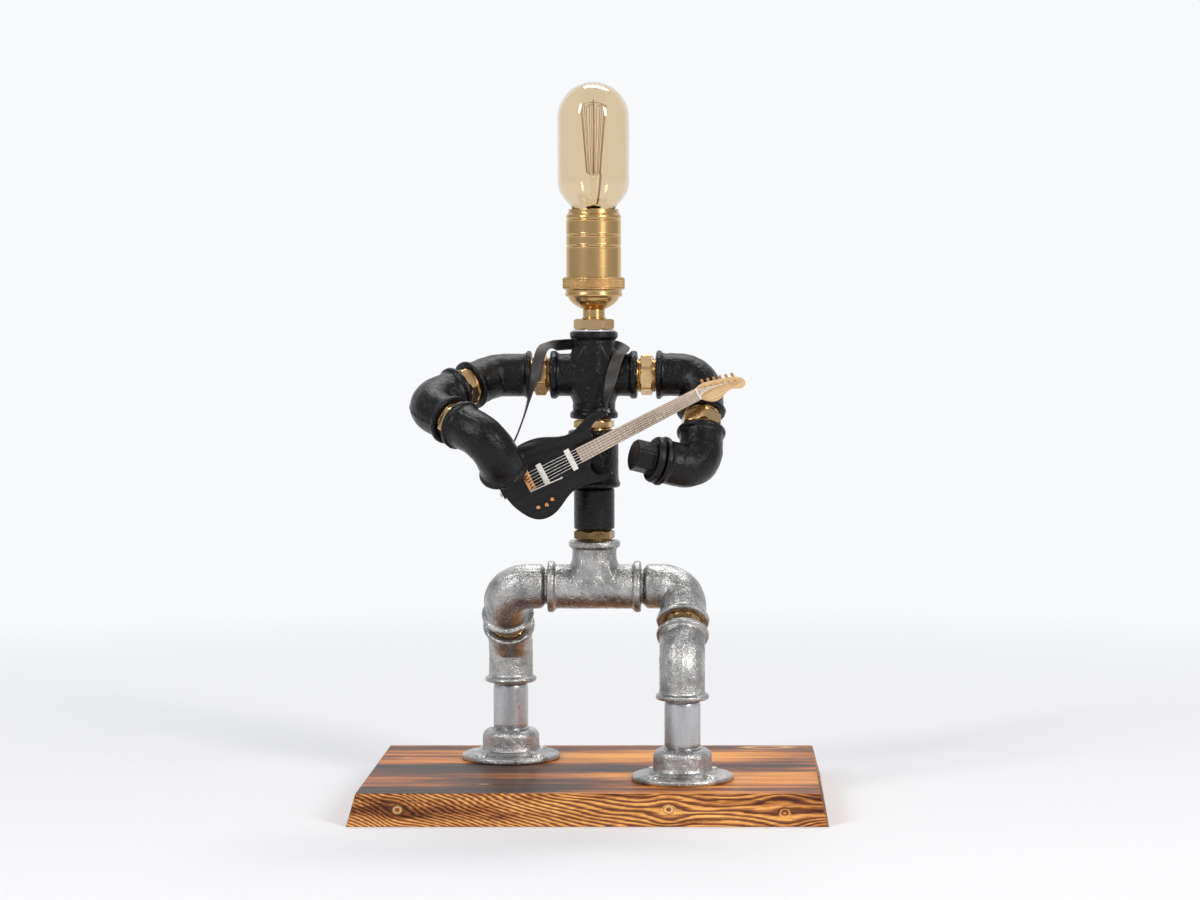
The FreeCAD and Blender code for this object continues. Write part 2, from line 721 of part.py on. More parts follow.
def bulb():
    outer, outer_end, outer_top = glass_outline(0)
    inner, inner_end, inner_top = glass_outline(glass_wall)
    ends = [straight(outer_end, inner_end), straight(outer_top, inner_top)]
    wire = Part.Wire(Part.__sortEdges__(outer + inner + ends))
    save("bulb_glass", Part.Face(wire).revolve(Vec(0, 0, 0), UP, 360))
    wall = bulb_cap_wall
    neck_seat = bulb_neck_r + thread_gap
    save("bulb_cap", turned([
        (bulb_cap_r - 3, bulb_cap_low), (bulb_cap_r - 0.8, bulb_cap_low), (bulb_cap_r, bulb_cap_low + 1),
        (bulb_cap_r, bulb_cap_top), (neck_seat, bulb_cap_top), (neck_seat, bulb_cap_low + 2 * wall + 1),
        (bulb_cap_r - 3, bulb_cap_low + wall),
    ]))
    save("bulb_insulator", turned([
        (eyelet_r + 0.05, vitrite_low), (bulb_cap_r - 3.3, bulb_cap_low - 0.2), (bulb_cap_r - 3.3, bulb_cap_low + 1),
        (eyelet_r - 2, bulb_cap_low + 1), (eyelet_r - 2, vitrite_low),
    ]))
    save("bulb_contact", turned([
        (0, eyelet_low), (eyelet_r - 1.2, eyelet_low), (eyelet_r, eyelet_low + 0.9), (eyelet_r, vitrite_low),
        (0, vitrite_low),
    ]))
    flare_low = bulb_cap_top - 5.0
    mount_top = flare_low + mount_height
    wire_start = mount_top + 3.05 + support_wire_r
    mount = turned([
        (0, flare_low), (bulb_neck_r - glass_wall - 0.1, flare_low), (flare_r - 2, flare_low + 6),
        (mount_r, flare_low + 13),
        (mount_r * 0.7, mount_top), (mount_r, mount_top + 1.5), (mount_r * 0.7, mount_top + 3), (0, mount_top + 3),
    ])
    save("bulb_mount", mount)
    low = mount_top + 4.0
    high = low + filament_length
    points = []
    for k in range(filament_runs):
        angle = filament_sweep * k / (filament_runs - 1)
        foot = rotated(Vec(filament_low_r, 0, low), UP, angle)
        head = rotated(Vec(filament_high_r, 0, high), UP, angle)
        points += [foot, head] if k % 2 == 0 else [head, foot]
    runs = []
    for a, b in zip(points, points[1:]):
        run = Part.makeBox(filament_wire, filament_wire, (b - a).Length, Vec(-filament_wire / 2, -filament_wire / 2, 0))
        runs.append(lay(run, a, (b - a).normalize()))
    save("bulb_filament", merged(*runs))
    wires = []
    for angle in (0.0, filament_sweep):
        foot = rotated(Vec(filament_low_r - filament_wire, 0, low), UP, angle)
        start = rotated(Vec(mount_r * 0.35, 0, wire_start), UP, angle)
        wires.append(lay(Part.makeCylinder(support_wire_r, (foot - start).Length), start, (foot - start).normalize()))
    centre_wire = Part.makeCylinder(support_wire_r, filament_length + 5.0, Vec(0, 0, wire_start))
    save("bulb_supports", *[wires[0], centre_wire, wires[1]])


# Guitar: local (u, v, w) to the lamp's frame

guitar_angle = math.radians(guitar_slant)
ALONG = Vec(math.cos(guitar_angle), 0, math.sin(guitar_angle))
ACROSS = Vec(-math.sin(guitar_angle), 0, math.cos(guitar_angle))


def on_guitar(u, v, w=0.0):
    return Vec(guitar_x, -guitar_front, guitar_z) + ALONG * u + ACROSS * v + FRONT * w


def guitar_curve(points):
    curve = Part.BSplineCurve()
    curve.interpolate([on_guitar(u, v, -guitar_body) for u, v in points])
    return curve.toShape()


def guitar_block(u, v, w, size):
    """Box centred on (u, v), standing on height w."""
    length, width, height = size
    corners = [(-1, -1), (1, -1), (1, 1), (-1, 1)]
    outline = [on_guitar(u + a * length / 2, v + b * width / 2, w) for a, b in corners]
    return closed_face(outline).extrude(FRONT * height)


def string_ends(k):
    offset = k - 2.5
    return offset * string_spacing, offset * nut_spacing


def guitar():
    upper = guitar_curve(guitar_upper)
    lower = guitar_curve(guitar_lower)
    heel = on_guitar(*guitar_lower[-1], -guitar_body)
    pocket = Part.makeLine(heel, on_guitar(*guitar_upper[0], -guitar_body))
    outline = Part.Wire(Part.__sortEdges__([upper, lower, pocket]))
    body = Part.Face(outline).extrude(FRONT * guitar_body)
    bevel = closed_face([
        on_guitar(-4, 24, -3.4), on_guitar(-4, 24, 2), on_guitar(-4, 14.5, 2), on_guitar(-4, 14.5, 0.4),
    ]).extrude(ALONG * 32)
    body = body.cut(bevel)
    neck_cut = neck_solid(thread_gap, 0)
    body = body.cut(neck_cut)
    stud_end = Vec(0, -guitar_front + guitar_body + 1, stud_z)
    stud_hole = Part.makeCylinder(stud_r + screw_gap, stud_in_body + 1, stud_end, FRONT)
    for start, direction in (horn_peg(), tail_peg()):
        foot = start - direction * screw_shank
        body = body.cut(Part.makeCylinder(button_screw_r + thread_gap, 2 * screw_shank, foot, direction))
    save("guitar_body", body.cut(stud_hole).Solids[0])
    save("guitar_neck", neck_with_head())
    board_w = neck_top
    board = Part.makeLoft([
        neck_section(neck_start, neck_heel_width, board_w, board_w + board_thickness),
        neck_section(nut_place, neck_nut_width, board_w, board_w + board_thickness),
    ], True, True)
    save("guitar_fretboard", board)
    top = board_w + board_thickness
    scale = (nut_place - pickup_places[0] + 8) * 1.0
    frets = []
    for n in range(1, fret_count + 1):
        place = nut_place - scale * (1 - 2 ** (-n / 12))
        if place > neck_start + 1:
            share = (place - neck_start) / (nut_place - neck_start)
            width = neck_heel_width + (neck_nut_width - neck_heel_width) * share - 0.3
            frets.append(guitar_block(place, 0, top, (fret_width, width, fret_height)))
    save("guitar_frets", *frets)
    nut_size = (nut_width, neck_nut_width - 0.2, nut_height + board_thickness)
    save("guitar_nut", guitar_block(nut_place + nut_width / 2, 0, board_w, nut_size))
    save("guitar_pickups", *[guitar_block(u, 0, 0, pickup_size) for u in pickup_places])
    saddles = [guitar_block(-0.9, string_ends(k)[0], bridge_size[2], saddle_size) for k in range(6)]
    save("guitar_bridge", guitar_block(-1.6, 0, 0, bridge_size), *saddles)
    strings = []
    saddle_top = bridge_size[2] + saddle_size[2] + string_r
    nut_top = top + nut_height + string_r
    for k in range(6):
        wide, close = string_ends(k)
        start = on_guitar(-0.9, wide, saddle_top)
        crossing = on_guitar(nut_place + nut_width / 2, close, nut_top)
        post = tuner_place(k)
        finish = on_guitar(post[0] - tuner_post_r, post[1] - tuner_post_r * 0.2, nut_top - 0.6)
        first = Part.makeCylinder(string_r, (crossing - start).Length)
        second = Part.makeCylinder(string_r, (finish - crossing).Length)
        strings.append(merged(
            lay(first, start, (crossing - start).normalize()), lay(second, crossing, (finish - crossing).normalize())))
    save("guitar_strings", *strings)
    knobs = []
    for u, v in knob_places:
        knob = turned([
            (0, 0), (knob_r, 0), (knob_r * 0.85, knob_height * 0.8), (knob_r * 0.6, knob_height), (0, knob_height),
        ])
        knobs.append(lay(knob, on_guitar(u, v), FRONT))
    save("guitar_knobs", *knobs)
    foot = on_guitar(*tremolo_start, bridge_size[2])
    bend = on_guitar(*tremolo_start, 3.4)
    tip = on_guitar(*tremolo_end, 4.2)
    arm = bent_bar([foot, tip], bend, 3 * tremolo_r, tremolo_r).removeSplitter()
    save("guitar_tremolo_arm", arm)
    posts = []
    for k in range(6):
        u, v = tuner_place(k)
        shaft = lay(Part.makeCylinder(tuner_post_r, tuner_post_height), on_guitar(u, v, head_top()), FRONT)
        back = head_top() - head_thickness - tuner_body[2]
        body = guitar_block(u, v + tuner_body[1] / 2 - 0.8, back, tuner_body)
        key = guitar_block(u, v + tuner_body[1] - 0.9 + tuner_button[1] / 2, back - 0.4, tuner_button)
        posts += [shaft, merged(body, key)]
    save("guitar_tuners", *posts)
    stud_start = thread_r + 0.7
    length = guitar_front - guitar_body + stud_in_body - stud_start
    save("guitar_stud", Part.makeCylinder(stud_r, length, Vec(0, -stud_start, stud_z), FRONT))


def head_top():
    return neck_top + 0.2


def tuner_place(k):
    return nut_place + tuner_start + tuner_pitch * k, 2.0 + tuner_fall * k


def neck_section(u, width, low, high):
    corners = [(-width / 2, low), (width / 2, low), (width / 2, high), (-width / 2, high)]
    points = [on_guitar(u, v, w) for v, w in corners]
    return Part.makePolygon(points + [points[0]])


def neck_solid(gap, trim):
    """Neck with its rounded back, wider and deeper by gap where it cuts the pocket."""
    wires = []
    for u, width in ((neck_start - gap, neck_heel_width), (nut_place + nut_width - trim, neck_nut_width)):
        half = width / 2 + gap
        shoulder = on_guitar(u, -half, neck_top)
        other = on_guitar(u, half, neck_top)
        sag = on_guitar(u, 0, -neck_back - gap)
        left = on_guitar(u, -half * 0.8, -neck_back * 0.55 - gap)
        right = on_guitar(u, half * 0.8, -neck_back * 0.55 - gap)
        arc = Part.Arc(left, sag, right).toShape()
        outline = [Part.makeLine(other, shoulder), Part.makeLine(shoulder, left), arc, Part.makeLine(right, other)]
        wires.append(Part.Wire(outline))
    return Part.makeLoft(wires, True, True)


def neck_with_head():
    points = [on_guitar(nut_place + nut_width + u, v, head_top() - head_thickness) for u, v in headstock]
    curve = Part.BSplineCurve()
    curve.interpolate(points)
    outline = Part.Wire([curve.toShape(), Part.makeLine(points[-1], points[0])])
    head = Part.Face(outline).extrude(FRONT * head_thickness)
    return merged(neck_solid(0, 0), head)


def strap_stations():
    """Middle of the strap and the direction of its width, from the horn over the shoulders to the tail."""
    top = chest_z + black_body_r
    edge_on = Vec(0, -1, 0)
    horn = horn_peg()
    horn_end = horn[0] + horn[1] * button_seat
    tail = tail_peg()
    tail_end = tail[0] + tail[1] * button_seat
    return [
        (horn_end + Vec(0, 0, -strap_tab), edge_on),
        (horn_end + Vec(0, 0, strap_tab * 0.8), edge_on),
        (Vec(8.8, -21.8, 243.0), Vec(0.5, -0.85, 0)),
        (Vec(9.9, -18.4, 249.5), Vec(0.95, -0.35, 0)),
        (Vec(11.8, -16.2, 257.5), Vec(1, -0.05, 0.05)),
        (Vec(15.0, -11.6, top - 1.2), Vec(1, 0.15, 0.1)),
        (Vec(17.8, -4.0, top + 1.9), Vec(1, 0.25, 0.1)),
        (Vec(17.4, 6.0, top + 3.0), Vec(0.9, 0.4, 0.3)),
        (Vec(11.0, 14.6, top + 4.4), Vec(0.45, -0.2, 0.9)),
        (Vec(0.0, 17.4, top + 5.6), Vec(0, 0, 1)),
        (Vec(-12.0, 13.6, top + 5.4), Vec(-0.35, -0.3, 0.9)),
        (Vec(-21.6, 6.4, top + 4.8), Vec(-0.6, -0.6, 0.45)),
        (Vec(-29.4, -3.2, top + 3.9), Vec(-0.95, -0.2, 0.1)),
        (Vec(-32.4, -11.6, 265.4), Vec(-1, 0, 0)),
        (Vec(-34.2, -16.4, 256.0), Vec(-0.9, 0.4, 0)),
        (Vec(-37.2, -18.8, 244.0), Vec(-0.35, 0.95, 0)),
        (Vec(-40.8, -20.2, 231.5), Vec(-0.1, 1, 0)),
        (Vec(-45.8, -21.4, 218.5), Vec(0, 1, 0)),
        (Vec(-51.6, -22.6, 209.6), Vec(0, 1, 0)),
        (Vec(-55.9, -23.6, 200.6), Vec(0, 1, 0)),
        (Vec(-55.9, -24.2, 193.0), Vec(0, 1, 0)),
        (tail_end + ACROSS * -strap_tab, Vec(0, 1, 0)),
    ]


def strap():
    """Flat strap, ruled between sections across it, with a hole for the button at each end."""
    stations = strap_stations()
    path = [point for point, _ in stations]
    rings = []
    for k, (point, wide) in enumerate(stations):
        ahead = (path[min(k + 1, len(path) - 1)] - path[max(k - 1, 0)]).normalize()
        wide = (wide - ahead * wide.dot(ahead)).normalize() * (strap_width / 2)
        thick = ahead.cross(wide).normalize() * (strap_thickness / 2)
        rings.append([point - wide - thick, point + wide - thick, point + wide + thick, point - wide + thick])
    faces = [closed_face(rings[0]), closed_face(rings[-1])]
    for near, far in zip(rings, rings[1:]):
        for k in range(4):
            lines = [Part.makeLine(ring[k - 1], ring[k]) for ring in (near, far)]
            faces.append(Part.makeRuledSurface(*lines))
    skin = Part.Shell(faces)
    skin.sewShape()
    band = Part.Solid(skin)
    if band.Volume < 0:
        band.reverse()
    for start, direction in (horn_peg(), tail_peg()):
        band = band.cut(Part.makeCylinder(button_neck_r + button_gap, button_length * 2, start, direction))
    save("strap", band)


def horn_peg():
    return on_guitar(57.3, 16.4, -4.5), RIGHT


def tail_peg():
    return on_guitar(-18.3, 0, -4.5), ALONG * -1


def strap_buttons():
    peg = turned([
        (0, -screw_shank), (button_screw_r, -screw_shank), (button_screw_r, 0), (button_neck_r, 0),
        (button_neck_r, button_length * 0.65), (button_r, button_length * 0.7), (button_r, button_length * 0.85),
        (button_r * 0.7, button_length), (0, button_length),
    ])
    save("strap_buttons", *[lay(peg, start + direction * peg_gap, direction) for start, direction in (horn_peg(), tail_peg())])


def lead_route():
    """Corners of the lead from the waist through the hips and the rear leg to the base's back edge."""
    knee = Vec(-hip_x, knee_y, knee_z)
    channel = Vec(-hip_x, knee_y, lead_channel_z)
    mouth = Vec(-hip_x, grommet_seat_y(), lead_channel_z)
    return [Vec(0, 0, tee_top + 0.7), hip, Vec(-hip_x, 0, hip_z), knee, channel, mouth]


def leads(body_low):
    centre_low = tee_top + 1.0
    torso_lead = Part.makeCylinder(lead_r, body_low - 0.2 - centre_low, Vec(0, 0, centre_low))
    save("torso_lead", torso_lead)
    save("leg_lead", swept_tube(lead_route(), lead_bend_r, lead_r))


os.makedirs("parts", exist_ok=True)
base()
grommet()
feet()
legs()
torso()
strum_arm()
fret_arm()
insulator_low = holder()
bulb()
guitar()
strap_buttons()
strap()
leads(insulator_low)
print("hip", hip, "chest", chest, "knee", hip_x, knee_y, knee_z, "top", bulb_top)
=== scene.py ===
# %% [markdown]
# A table lamp built from half-inch pipe fittings: a striding figure whose head is a bulb.
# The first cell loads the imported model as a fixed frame. Everything after it is in metres,
# in that frame, and rides on one of its bodies.

# %% Load the frame
import json
import math

import bmesh
import bpy
import numpy as np
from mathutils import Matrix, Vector


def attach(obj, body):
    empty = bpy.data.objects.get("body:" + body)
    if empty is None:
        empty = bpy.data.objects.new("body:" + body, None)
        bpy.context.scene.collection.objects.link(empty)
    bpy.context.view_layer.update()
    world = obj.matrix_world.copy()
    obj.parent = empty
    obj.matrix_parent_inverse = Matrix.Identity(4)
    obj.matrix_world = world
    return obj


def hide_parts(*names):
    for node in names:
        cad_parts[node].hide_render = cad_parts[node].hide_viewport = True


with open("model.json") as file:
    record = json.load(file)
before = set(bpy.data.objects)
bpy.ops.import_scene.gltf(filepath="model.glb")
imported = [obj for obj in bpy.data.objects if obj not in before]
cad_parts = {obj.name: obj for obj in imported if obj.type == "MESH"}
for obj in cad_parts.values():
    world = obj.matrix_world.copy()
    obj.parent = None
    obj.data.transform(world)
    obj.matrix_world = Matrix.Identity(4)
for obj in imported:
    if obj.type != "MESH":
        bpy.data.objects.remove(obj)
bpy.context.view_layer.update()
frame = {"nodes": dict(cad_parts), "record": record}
MM = 0.001
SLOT_OF = {part["node"]: part["material_slot"] for part in frame["record"]["subparts"]}
BODY_OF = {node: body for body, nodes in frame["record"]["behaviour"]["bodies"].items() for node in nodes}

# %% [markdown]
# The camera stands where the photographer's did: level with the figure's chest, a little to the right,
# looking slightly down with a long lens. The frame is shifted sideways instead of turned, which keeps
# the lamp upright.

# %% Camera
CAMERA_AT = (83.485 * MM, -1837.804 * MM, 314.433 * MM)
CAMERA_DOWN = 0.0563
FOCAL_PIXELS = 3067.868
CENTRE_PIXEL = 733.292
IMAGE_WIDTH = 1200
SENSOR = 36.0
camera_data = bpy.data.cameras.new("camera")
camera_data.sensor_width = SENSOR
camera_data.lens = FOCAL_PIXELS * SENSOR / IMAGE_WIDTH
camera_data.shift_x = -(CENTRE_PIXEL - IMAGE_WIDTH / 2) / IMAGE_WIDTH
camera_data.clip_end = 100
camera = bpy.data.objects.new("camera", camera_data)
camera.location = CAMERA_AT
camera.rotation_euler = (math.pi / 2 - CAMERA_DOWN, 0, 0)
bpy.context.collection.objects.link(camera)
bpy.context.scene.camera = camera
bpy.context.scene.view_settings.view_transform = "Standard"
print("lens", round(camera_data.lens, 2), "shift", round(camera_data.shift_x, 4))

# %% [markdown]
# Node trees are written with a few small helpers. One makes a node and fills or links its sockets.
# The others make the nodes that every finish needs: sums, ramps, noise and bumps.

# %% Node helpers


def fill(tree, node, inputs):
    """Link each named socket of a node, or set its value."""
    for name, value in inputs.items():
        if isinstance(value, bpy.types.NodeSocket):
            tree.links.new(value, node.inputs[name])
        else:
            node.inputs[name].default_value = value


def add_node(tree, kind, inputs=None, **settings):
    made = tree.nodes.new("ShaderNode" + kind)
    for name, value in settings.items():
        setattr(made, name, value)
    fill(tree, made, inputs or {})
    return made


def add_ramp(tree, factor, *stops):
    """Colour ramp through (place, colour) stops."""
    made = add_node(tree, "ValToRGB", {"Fac": factor})
    elements = made.color_ramp.elements
    for _ in stops[2:]:
        elements.new(0.5)
    for element, (place, colour) in zip(elements, stops):
        element.position = place
        element.color = (*colour, 1)
    return made.outputs["Color"]


def grey_ramp(tree, factor, *stops):
    return add_ramp(tree, factor, *((place, (value,) * 3) for place, value in stops))


def maths(tree, operation, a, b=0.0, clamp=False):
    return add_node(tree, "Math", {0: a, 1: b}, operation=operation, use_clamp=clamp).outputs[0]


def plus(tree, a, b):
    return maths(tree, "ADD", a, b)


def times(tree, a, b, clamp=False):
    return maths(tree, "MULTIPLY", a, b, clamp)


def swing(tree, value, amount):
    """A noise made to swing by this amount about zero."""
    return times(tree, maths(tree, "SUBTRACT", value, 0.5), amount)


def mix_colours(tree, factor, a, b, blend="MIX"):
    inputs = {"Factor": factor, 6: a, 7: b}
    return add_node(tree, "Mix", inputs, data_type="RGBA", blend_type=blend).outputs[2]


def new_material(name):
    """A material with its Principled shader and the object's own coordinates."""
    material = bpy.data.materials.new(name)
    material.use_nodes = True
    tree = material.node_tree
    place = add_node(tree, "TexCoord").outputs["Object"]
    return material, tree, tree.nodes["Principled BSDF"], place


def noise(tree, place, scale, detail=3.0, roughness=0.5, stretch=(1, 1, 1)):
    """Noise in cycles per metre, squeezed along each axis by stretch."""
    sized = add_node(tree, "Mapping", {"Vector": place, "Scale": tuple(scale * s for s in stretch)})
    inputs = {"Vector": sized.outputs[0], "Scale": 1.0, "Detail": detail, "Roughness": roughness}
    return add_node(tree, "TexNoise", inputs).outputs["Fac"]


def add_bump(tree, height, distance, strength=1.0, **under):
    """Normal of a relief this many metres deep, on top of another normal if one is given."""
    inputs = {"Height": height, "Distance": distance, "Strength": strength, **under}
    return add_node(tree, "Bump", inputs).outputs[0]


# %% [markdown]
# Malleable fittings are cast in sand, so their skin is a field of soft grains with a few deeper pits.
# Two noises make the height, a coarse one for the ripple of the casting and a fine one for the grains,
# and the same fine noise varies the gloss. The black ones are oiled and shine; the grey ones are dipped
# in zinc. All frequencies are in cycles per metre.

# %% Cast iron and drawn tube
RIPPLES, GRAINS, PITS, MOTTLES = 150, 950, 420, 75
COAT_ROUGHNESS = 0.12


def cast_iron(name, dark, light, metallic, roughness, depth, coat=0.0, sheen=0.5):
    material, tree, shader, place = new_material(name)
    grains = noise(tree, place, GRAINS, 3, 0.62)
    mottled = noise(tree, place, MOTTLES, 5, 0.65)
    low = add_bump(tree, noise(tree, place, RIPPLES, 2), 3 * depth, 0.5)
    sunk = grey_ramp(tree, noise(tree, place, PITS, 2, 0.5), (0.30, 0.0), (0.42, 1.0))
    mid = add_bump(tree, sunk, 0.6 * depth, 0.7, Normal=low)
    skin = add_bump(tree, grains, depth, 1.0, Normal=mid)
    fill(tree, shader, {
        "Base Color": add_ramp(tree, mottled, (0.36, dark), (0.64, light)),
        "Roughness": grey_ramp(tree, grains, (0.36, roughness[0]), (0.64, roughness[1])),
        "Metallic": metallic, "Specular IOR Level": sheen, "Coat Weight": coat,
        "Coat Roughness": COAT_ROUGHNESS, "Normal": skin, "Coat Normal": skin})
    return material


def galvanised_tube(name):
    """Drawn tube: the zinc lies smooth, with faint marks along the tube."""
    material, tree, shader, place = new_material(name)
    marks = noise(tree, place, 90, 4, 0.6, (1, 1, 0.12))
    grains = noise(tree, place, 700, 3)
    fill(tree, shader, {
        "Base Color": add_ramp(tree, marks, (0.3, (0.36, 0.36, 0.37)), (0.7, (0.62, 0.62, 0.63))),
        "Roughness": grey_ramp(tree, grains, (0.3, 0.24), (0.7, 0.46)),
        "Metallic": 1.0, "Normal": add_bump(tree, grains, 0.00012)})
    return material


# %% [markdown]
# Brass here is turned on a lathe, so fine rings run round each piece. The pieces lie at many angles, and
# one set of rings can't follow them all, so the marks are fine scratches without a direction, with a
# darker tarnish in patches. The holder, which stands upright, gets level rings of its own.

# %% Brass, steel and plated metal
TARNISH_PATCHES, SCRATCHES = 55, 1400


def bright_metal(name, pale, deep, roughness, tarnish=0.42, rings=None, scratch=0.00002):
    material, tree, shader, place = new_material(name)
    patches = noise(tree, place, TARNISH_PATCHES, 5, 0.6)
    if rings:
        fine = noise(tree, place, rings, 2, 0.6, (0.01, 0.01, 1.0))
    else:
        fine = noise(tree, place, SCRATCHES, 2, 0.5)
    fill(tree, shader, {
        "Base Color": add_ramp(tree, patches, (tarnish - 0.14, deep), (tarnish + 0.16, pale)),
        "Roughness": grey_ramp(tree, patches, (0.32, roughness[1]), (0.62, roughness[0])),
        "Metallic": 1.0, "Normal": add_bump(tree, fine, scratch, 0.6)})
    return material


# %% [markdown]
# The base is a pine board, scorched with a flame and brushed. The growth rings' phase is worked out when
# the board is made, further down, and kept on its mesh, so that colour and relief agree. A ramp over one
# ring runs from the dense dark line through amber to the pale early wood. The top is burnt evenly and
# lacquered; its colour runs in long soft bands from char to bright orange, and the brightest orange is partly
# the amber wood and partly a painted highlight. The sides were brushed hard, so the pale wood shows between
# char lines.

# %% Scorched pine


def scorched_pine(name):
    material, tree, shader, place = new_material(name)
    rings, heart, side = (add_node(tree, "Attribute", attribute_name=kept).outputs["Fac"]
                          for kept in ("rings", "heart", "side"))
    fibre = noise(tree, place, 1100, 3, 0.65, (0.04, 1.0, 1.0))
    waver = noise(tree, place, 330, 3, 0.6, (0.14, 1.0, 1.0))
    streak = noise(tree, place, 70, 4, 0.55, (0.06, 1.0, 1.0))
    wide = noise(tree, place, 20, 3, 0.55, (0.30, 1.0, 1.0))
    char = noise(tree, place, 110, 6, 0.72, (0.13, 1.0, 1.0))
    ring = maths(tree, "FRACT", plus(tree, rings, swing(tree, waver, 0.9)))
    ring = plus(tree, ring, swing(tree, fibre, 0.7))
    soft = plus(tree, times(tree, streak, 0.5), times(tree, wide, 0.5))
    soft = plus(tree, soft, swing(tree, ring, 0.05))
    # The top's bright orange end is partly amber wood and partly a painted highlight on the lacquer.
    top = add_ramp(
        tree, soft, (0.38, (0.016, 0.004, 0.002)), (0.44, (0.060, 0.015, 0.003)),
        (0.49, (0.20, 0.050, 0.006)), (0.545, (0.52, 0.155, 0.015)), (0.62, (0.85, 0.35, 0.05)))
    brushed = add_ramp(
        tree, ring, (0.0, (0.13, 0.05, 0.028)), (0.22, (0.17, 0.062, 0.032)), (0.42, (0.40, 0.155, 0.045)),
        (0.62, (0.86, 0.47, 0.16)), (0.84, (0.80, 0.40, 0.11)), (1.0, (0.28, 0.105, 0.04)))
    scorch = add_ramp(
        tree, char, (0.36, (0.24, 0.15, 0.12)), (0.45, (0.60, 0.44, 0.36)),
        (0.54, (1.0, 0.90, 0.80)), (0.66, (1.15, 1.15, 1.1)))
    eye = add_ramp(
        tree, heart, (0.0, (0.92, 0.56, 0.22)), (0.60, (0.95, 0.66, 0.32)),
        (0.76, (0.42, 0.13, 0.045)), (0.92, (0.22, 0.06, 0.02)))
    shown = grey_ramp(tree, heart, (0.25, 0.0), (0.55, 0.7), (0.8, 0.95))
    burnt = mix_colours(tree, side, top, mix_colours(tree, 1.0, brushed, scorch, "MULTIPLY"))
    relief = add_bump(tree, fibre, 0.00016, 0.8)
    fill(tree, shader, {
        "Base Color": mix_colours(tree, shown, burnt, eye),
        "Roughness": 0.55, "Specular IOR Level": 0.2, "Coat Roughness": 0.25,
        "Coat Weight": maths(tree, "SUBTRACT", 0.22, times(tree, side, 0.17)),
        "Normal": add_bump(tree, ring, 0.00035, 0.5, Normal=relief)})
    return material


# %% [markdown]
# The guitar's wood is finished two ways: a black lacquer thin enough to leave the pores open, and oiled
# maple for the neck. Both use noise stretched along the neck's direction, which a Mapping node turns.
# Plastic, porcelain and rubber wander a little in colour, and leather has pores as small cells.

# %% Guitar finishes, plastics and leather
NECK_SLANT = math.radians(27.3)


def grained_wood(name, dark, light, roughness, pore, coat, sheen=0.5):
    material, tree, shader, place = new_material(name)
    turned = add_node(tree, "Mapping", {"Vector": place, "Rotation": (0, NECK_SLANT, 0)}).outputs[0]
    fibre = noise(tree, turned, 1100, 4, 0.65, (0.06, 1.0, 1.0))
    fill(tree, shader, {
        "Base Color": add_ramp(tree, fibre, (0.34, dark), (0.66, light)),
        "Roughness": grey_ramp(tree, fibre, (0.3, roughness[1]), (0.6, roughness[0])),
        "Specular IOR Level": sheen, "Coat Weight": coat, "Coat Roughness": 0.2,
        "Normal": add_bump(tree, fibre, pore)})
    return material


def smooth_finish(name, dark, light, roughness, scale, depth, coat=0.0):
    material, tree, shader, place = new_material(name)
    patches = noise(tree, place, scale, 4)
    fill(tree, shader, {
        "Base Color": add_ramp(tree, patches, (0.35, dark), (0.65, light)),
        "Roughness": grey_ramp(tree, patches, (0.3, roughness[0]), (0.7, roughness[1])),
        "Coat Weight": coat, "Normal": add_bump(tree, noise(tree, place, scale * 6, 3), depth)})
    return material


def leather(name):
    material, tree, shader, place = new_material(name)
    rub = noise(tree, place, 160, 4, 0.6)
    cells = add_node(tree, "TexVoronoi", {"Vector": place, "Scale": 1500.0}).outputs["Distance"]
    fill(tree, shader, {
        "Base Color": add_ramp(tree, rub, (0.32, (0.012, 0.010, 0.009)), (0.68, (0.045, 0.037, 0.032))),
        "Roughness": grey_ramp(tree, rub, (0.3, 0.62), (0.7, 0.42)),
        "Normal": add_bump(tree, cells, 0.0001)})
    return material


# %% [markdown]
# The bulb's glass is smoked amber. A Principled shader with full transmission bends light by itself, and
# the tint lies in its base colour. The wall is real, so one pass tints twice.

# %% Glass


def lamp_glass(name, tint, bending):
    material, tree, shader, place = new_material(name)
    fill(tree, shader, {
        "Base Color": (*tint, 1), "Transmission Weight": 1.0, "IOR": bending, "Roughness": 0.0,
        "Normal": add_bump(tree, noise(tree, place, 45, 2), 0.0003, 0.15)})
    return material


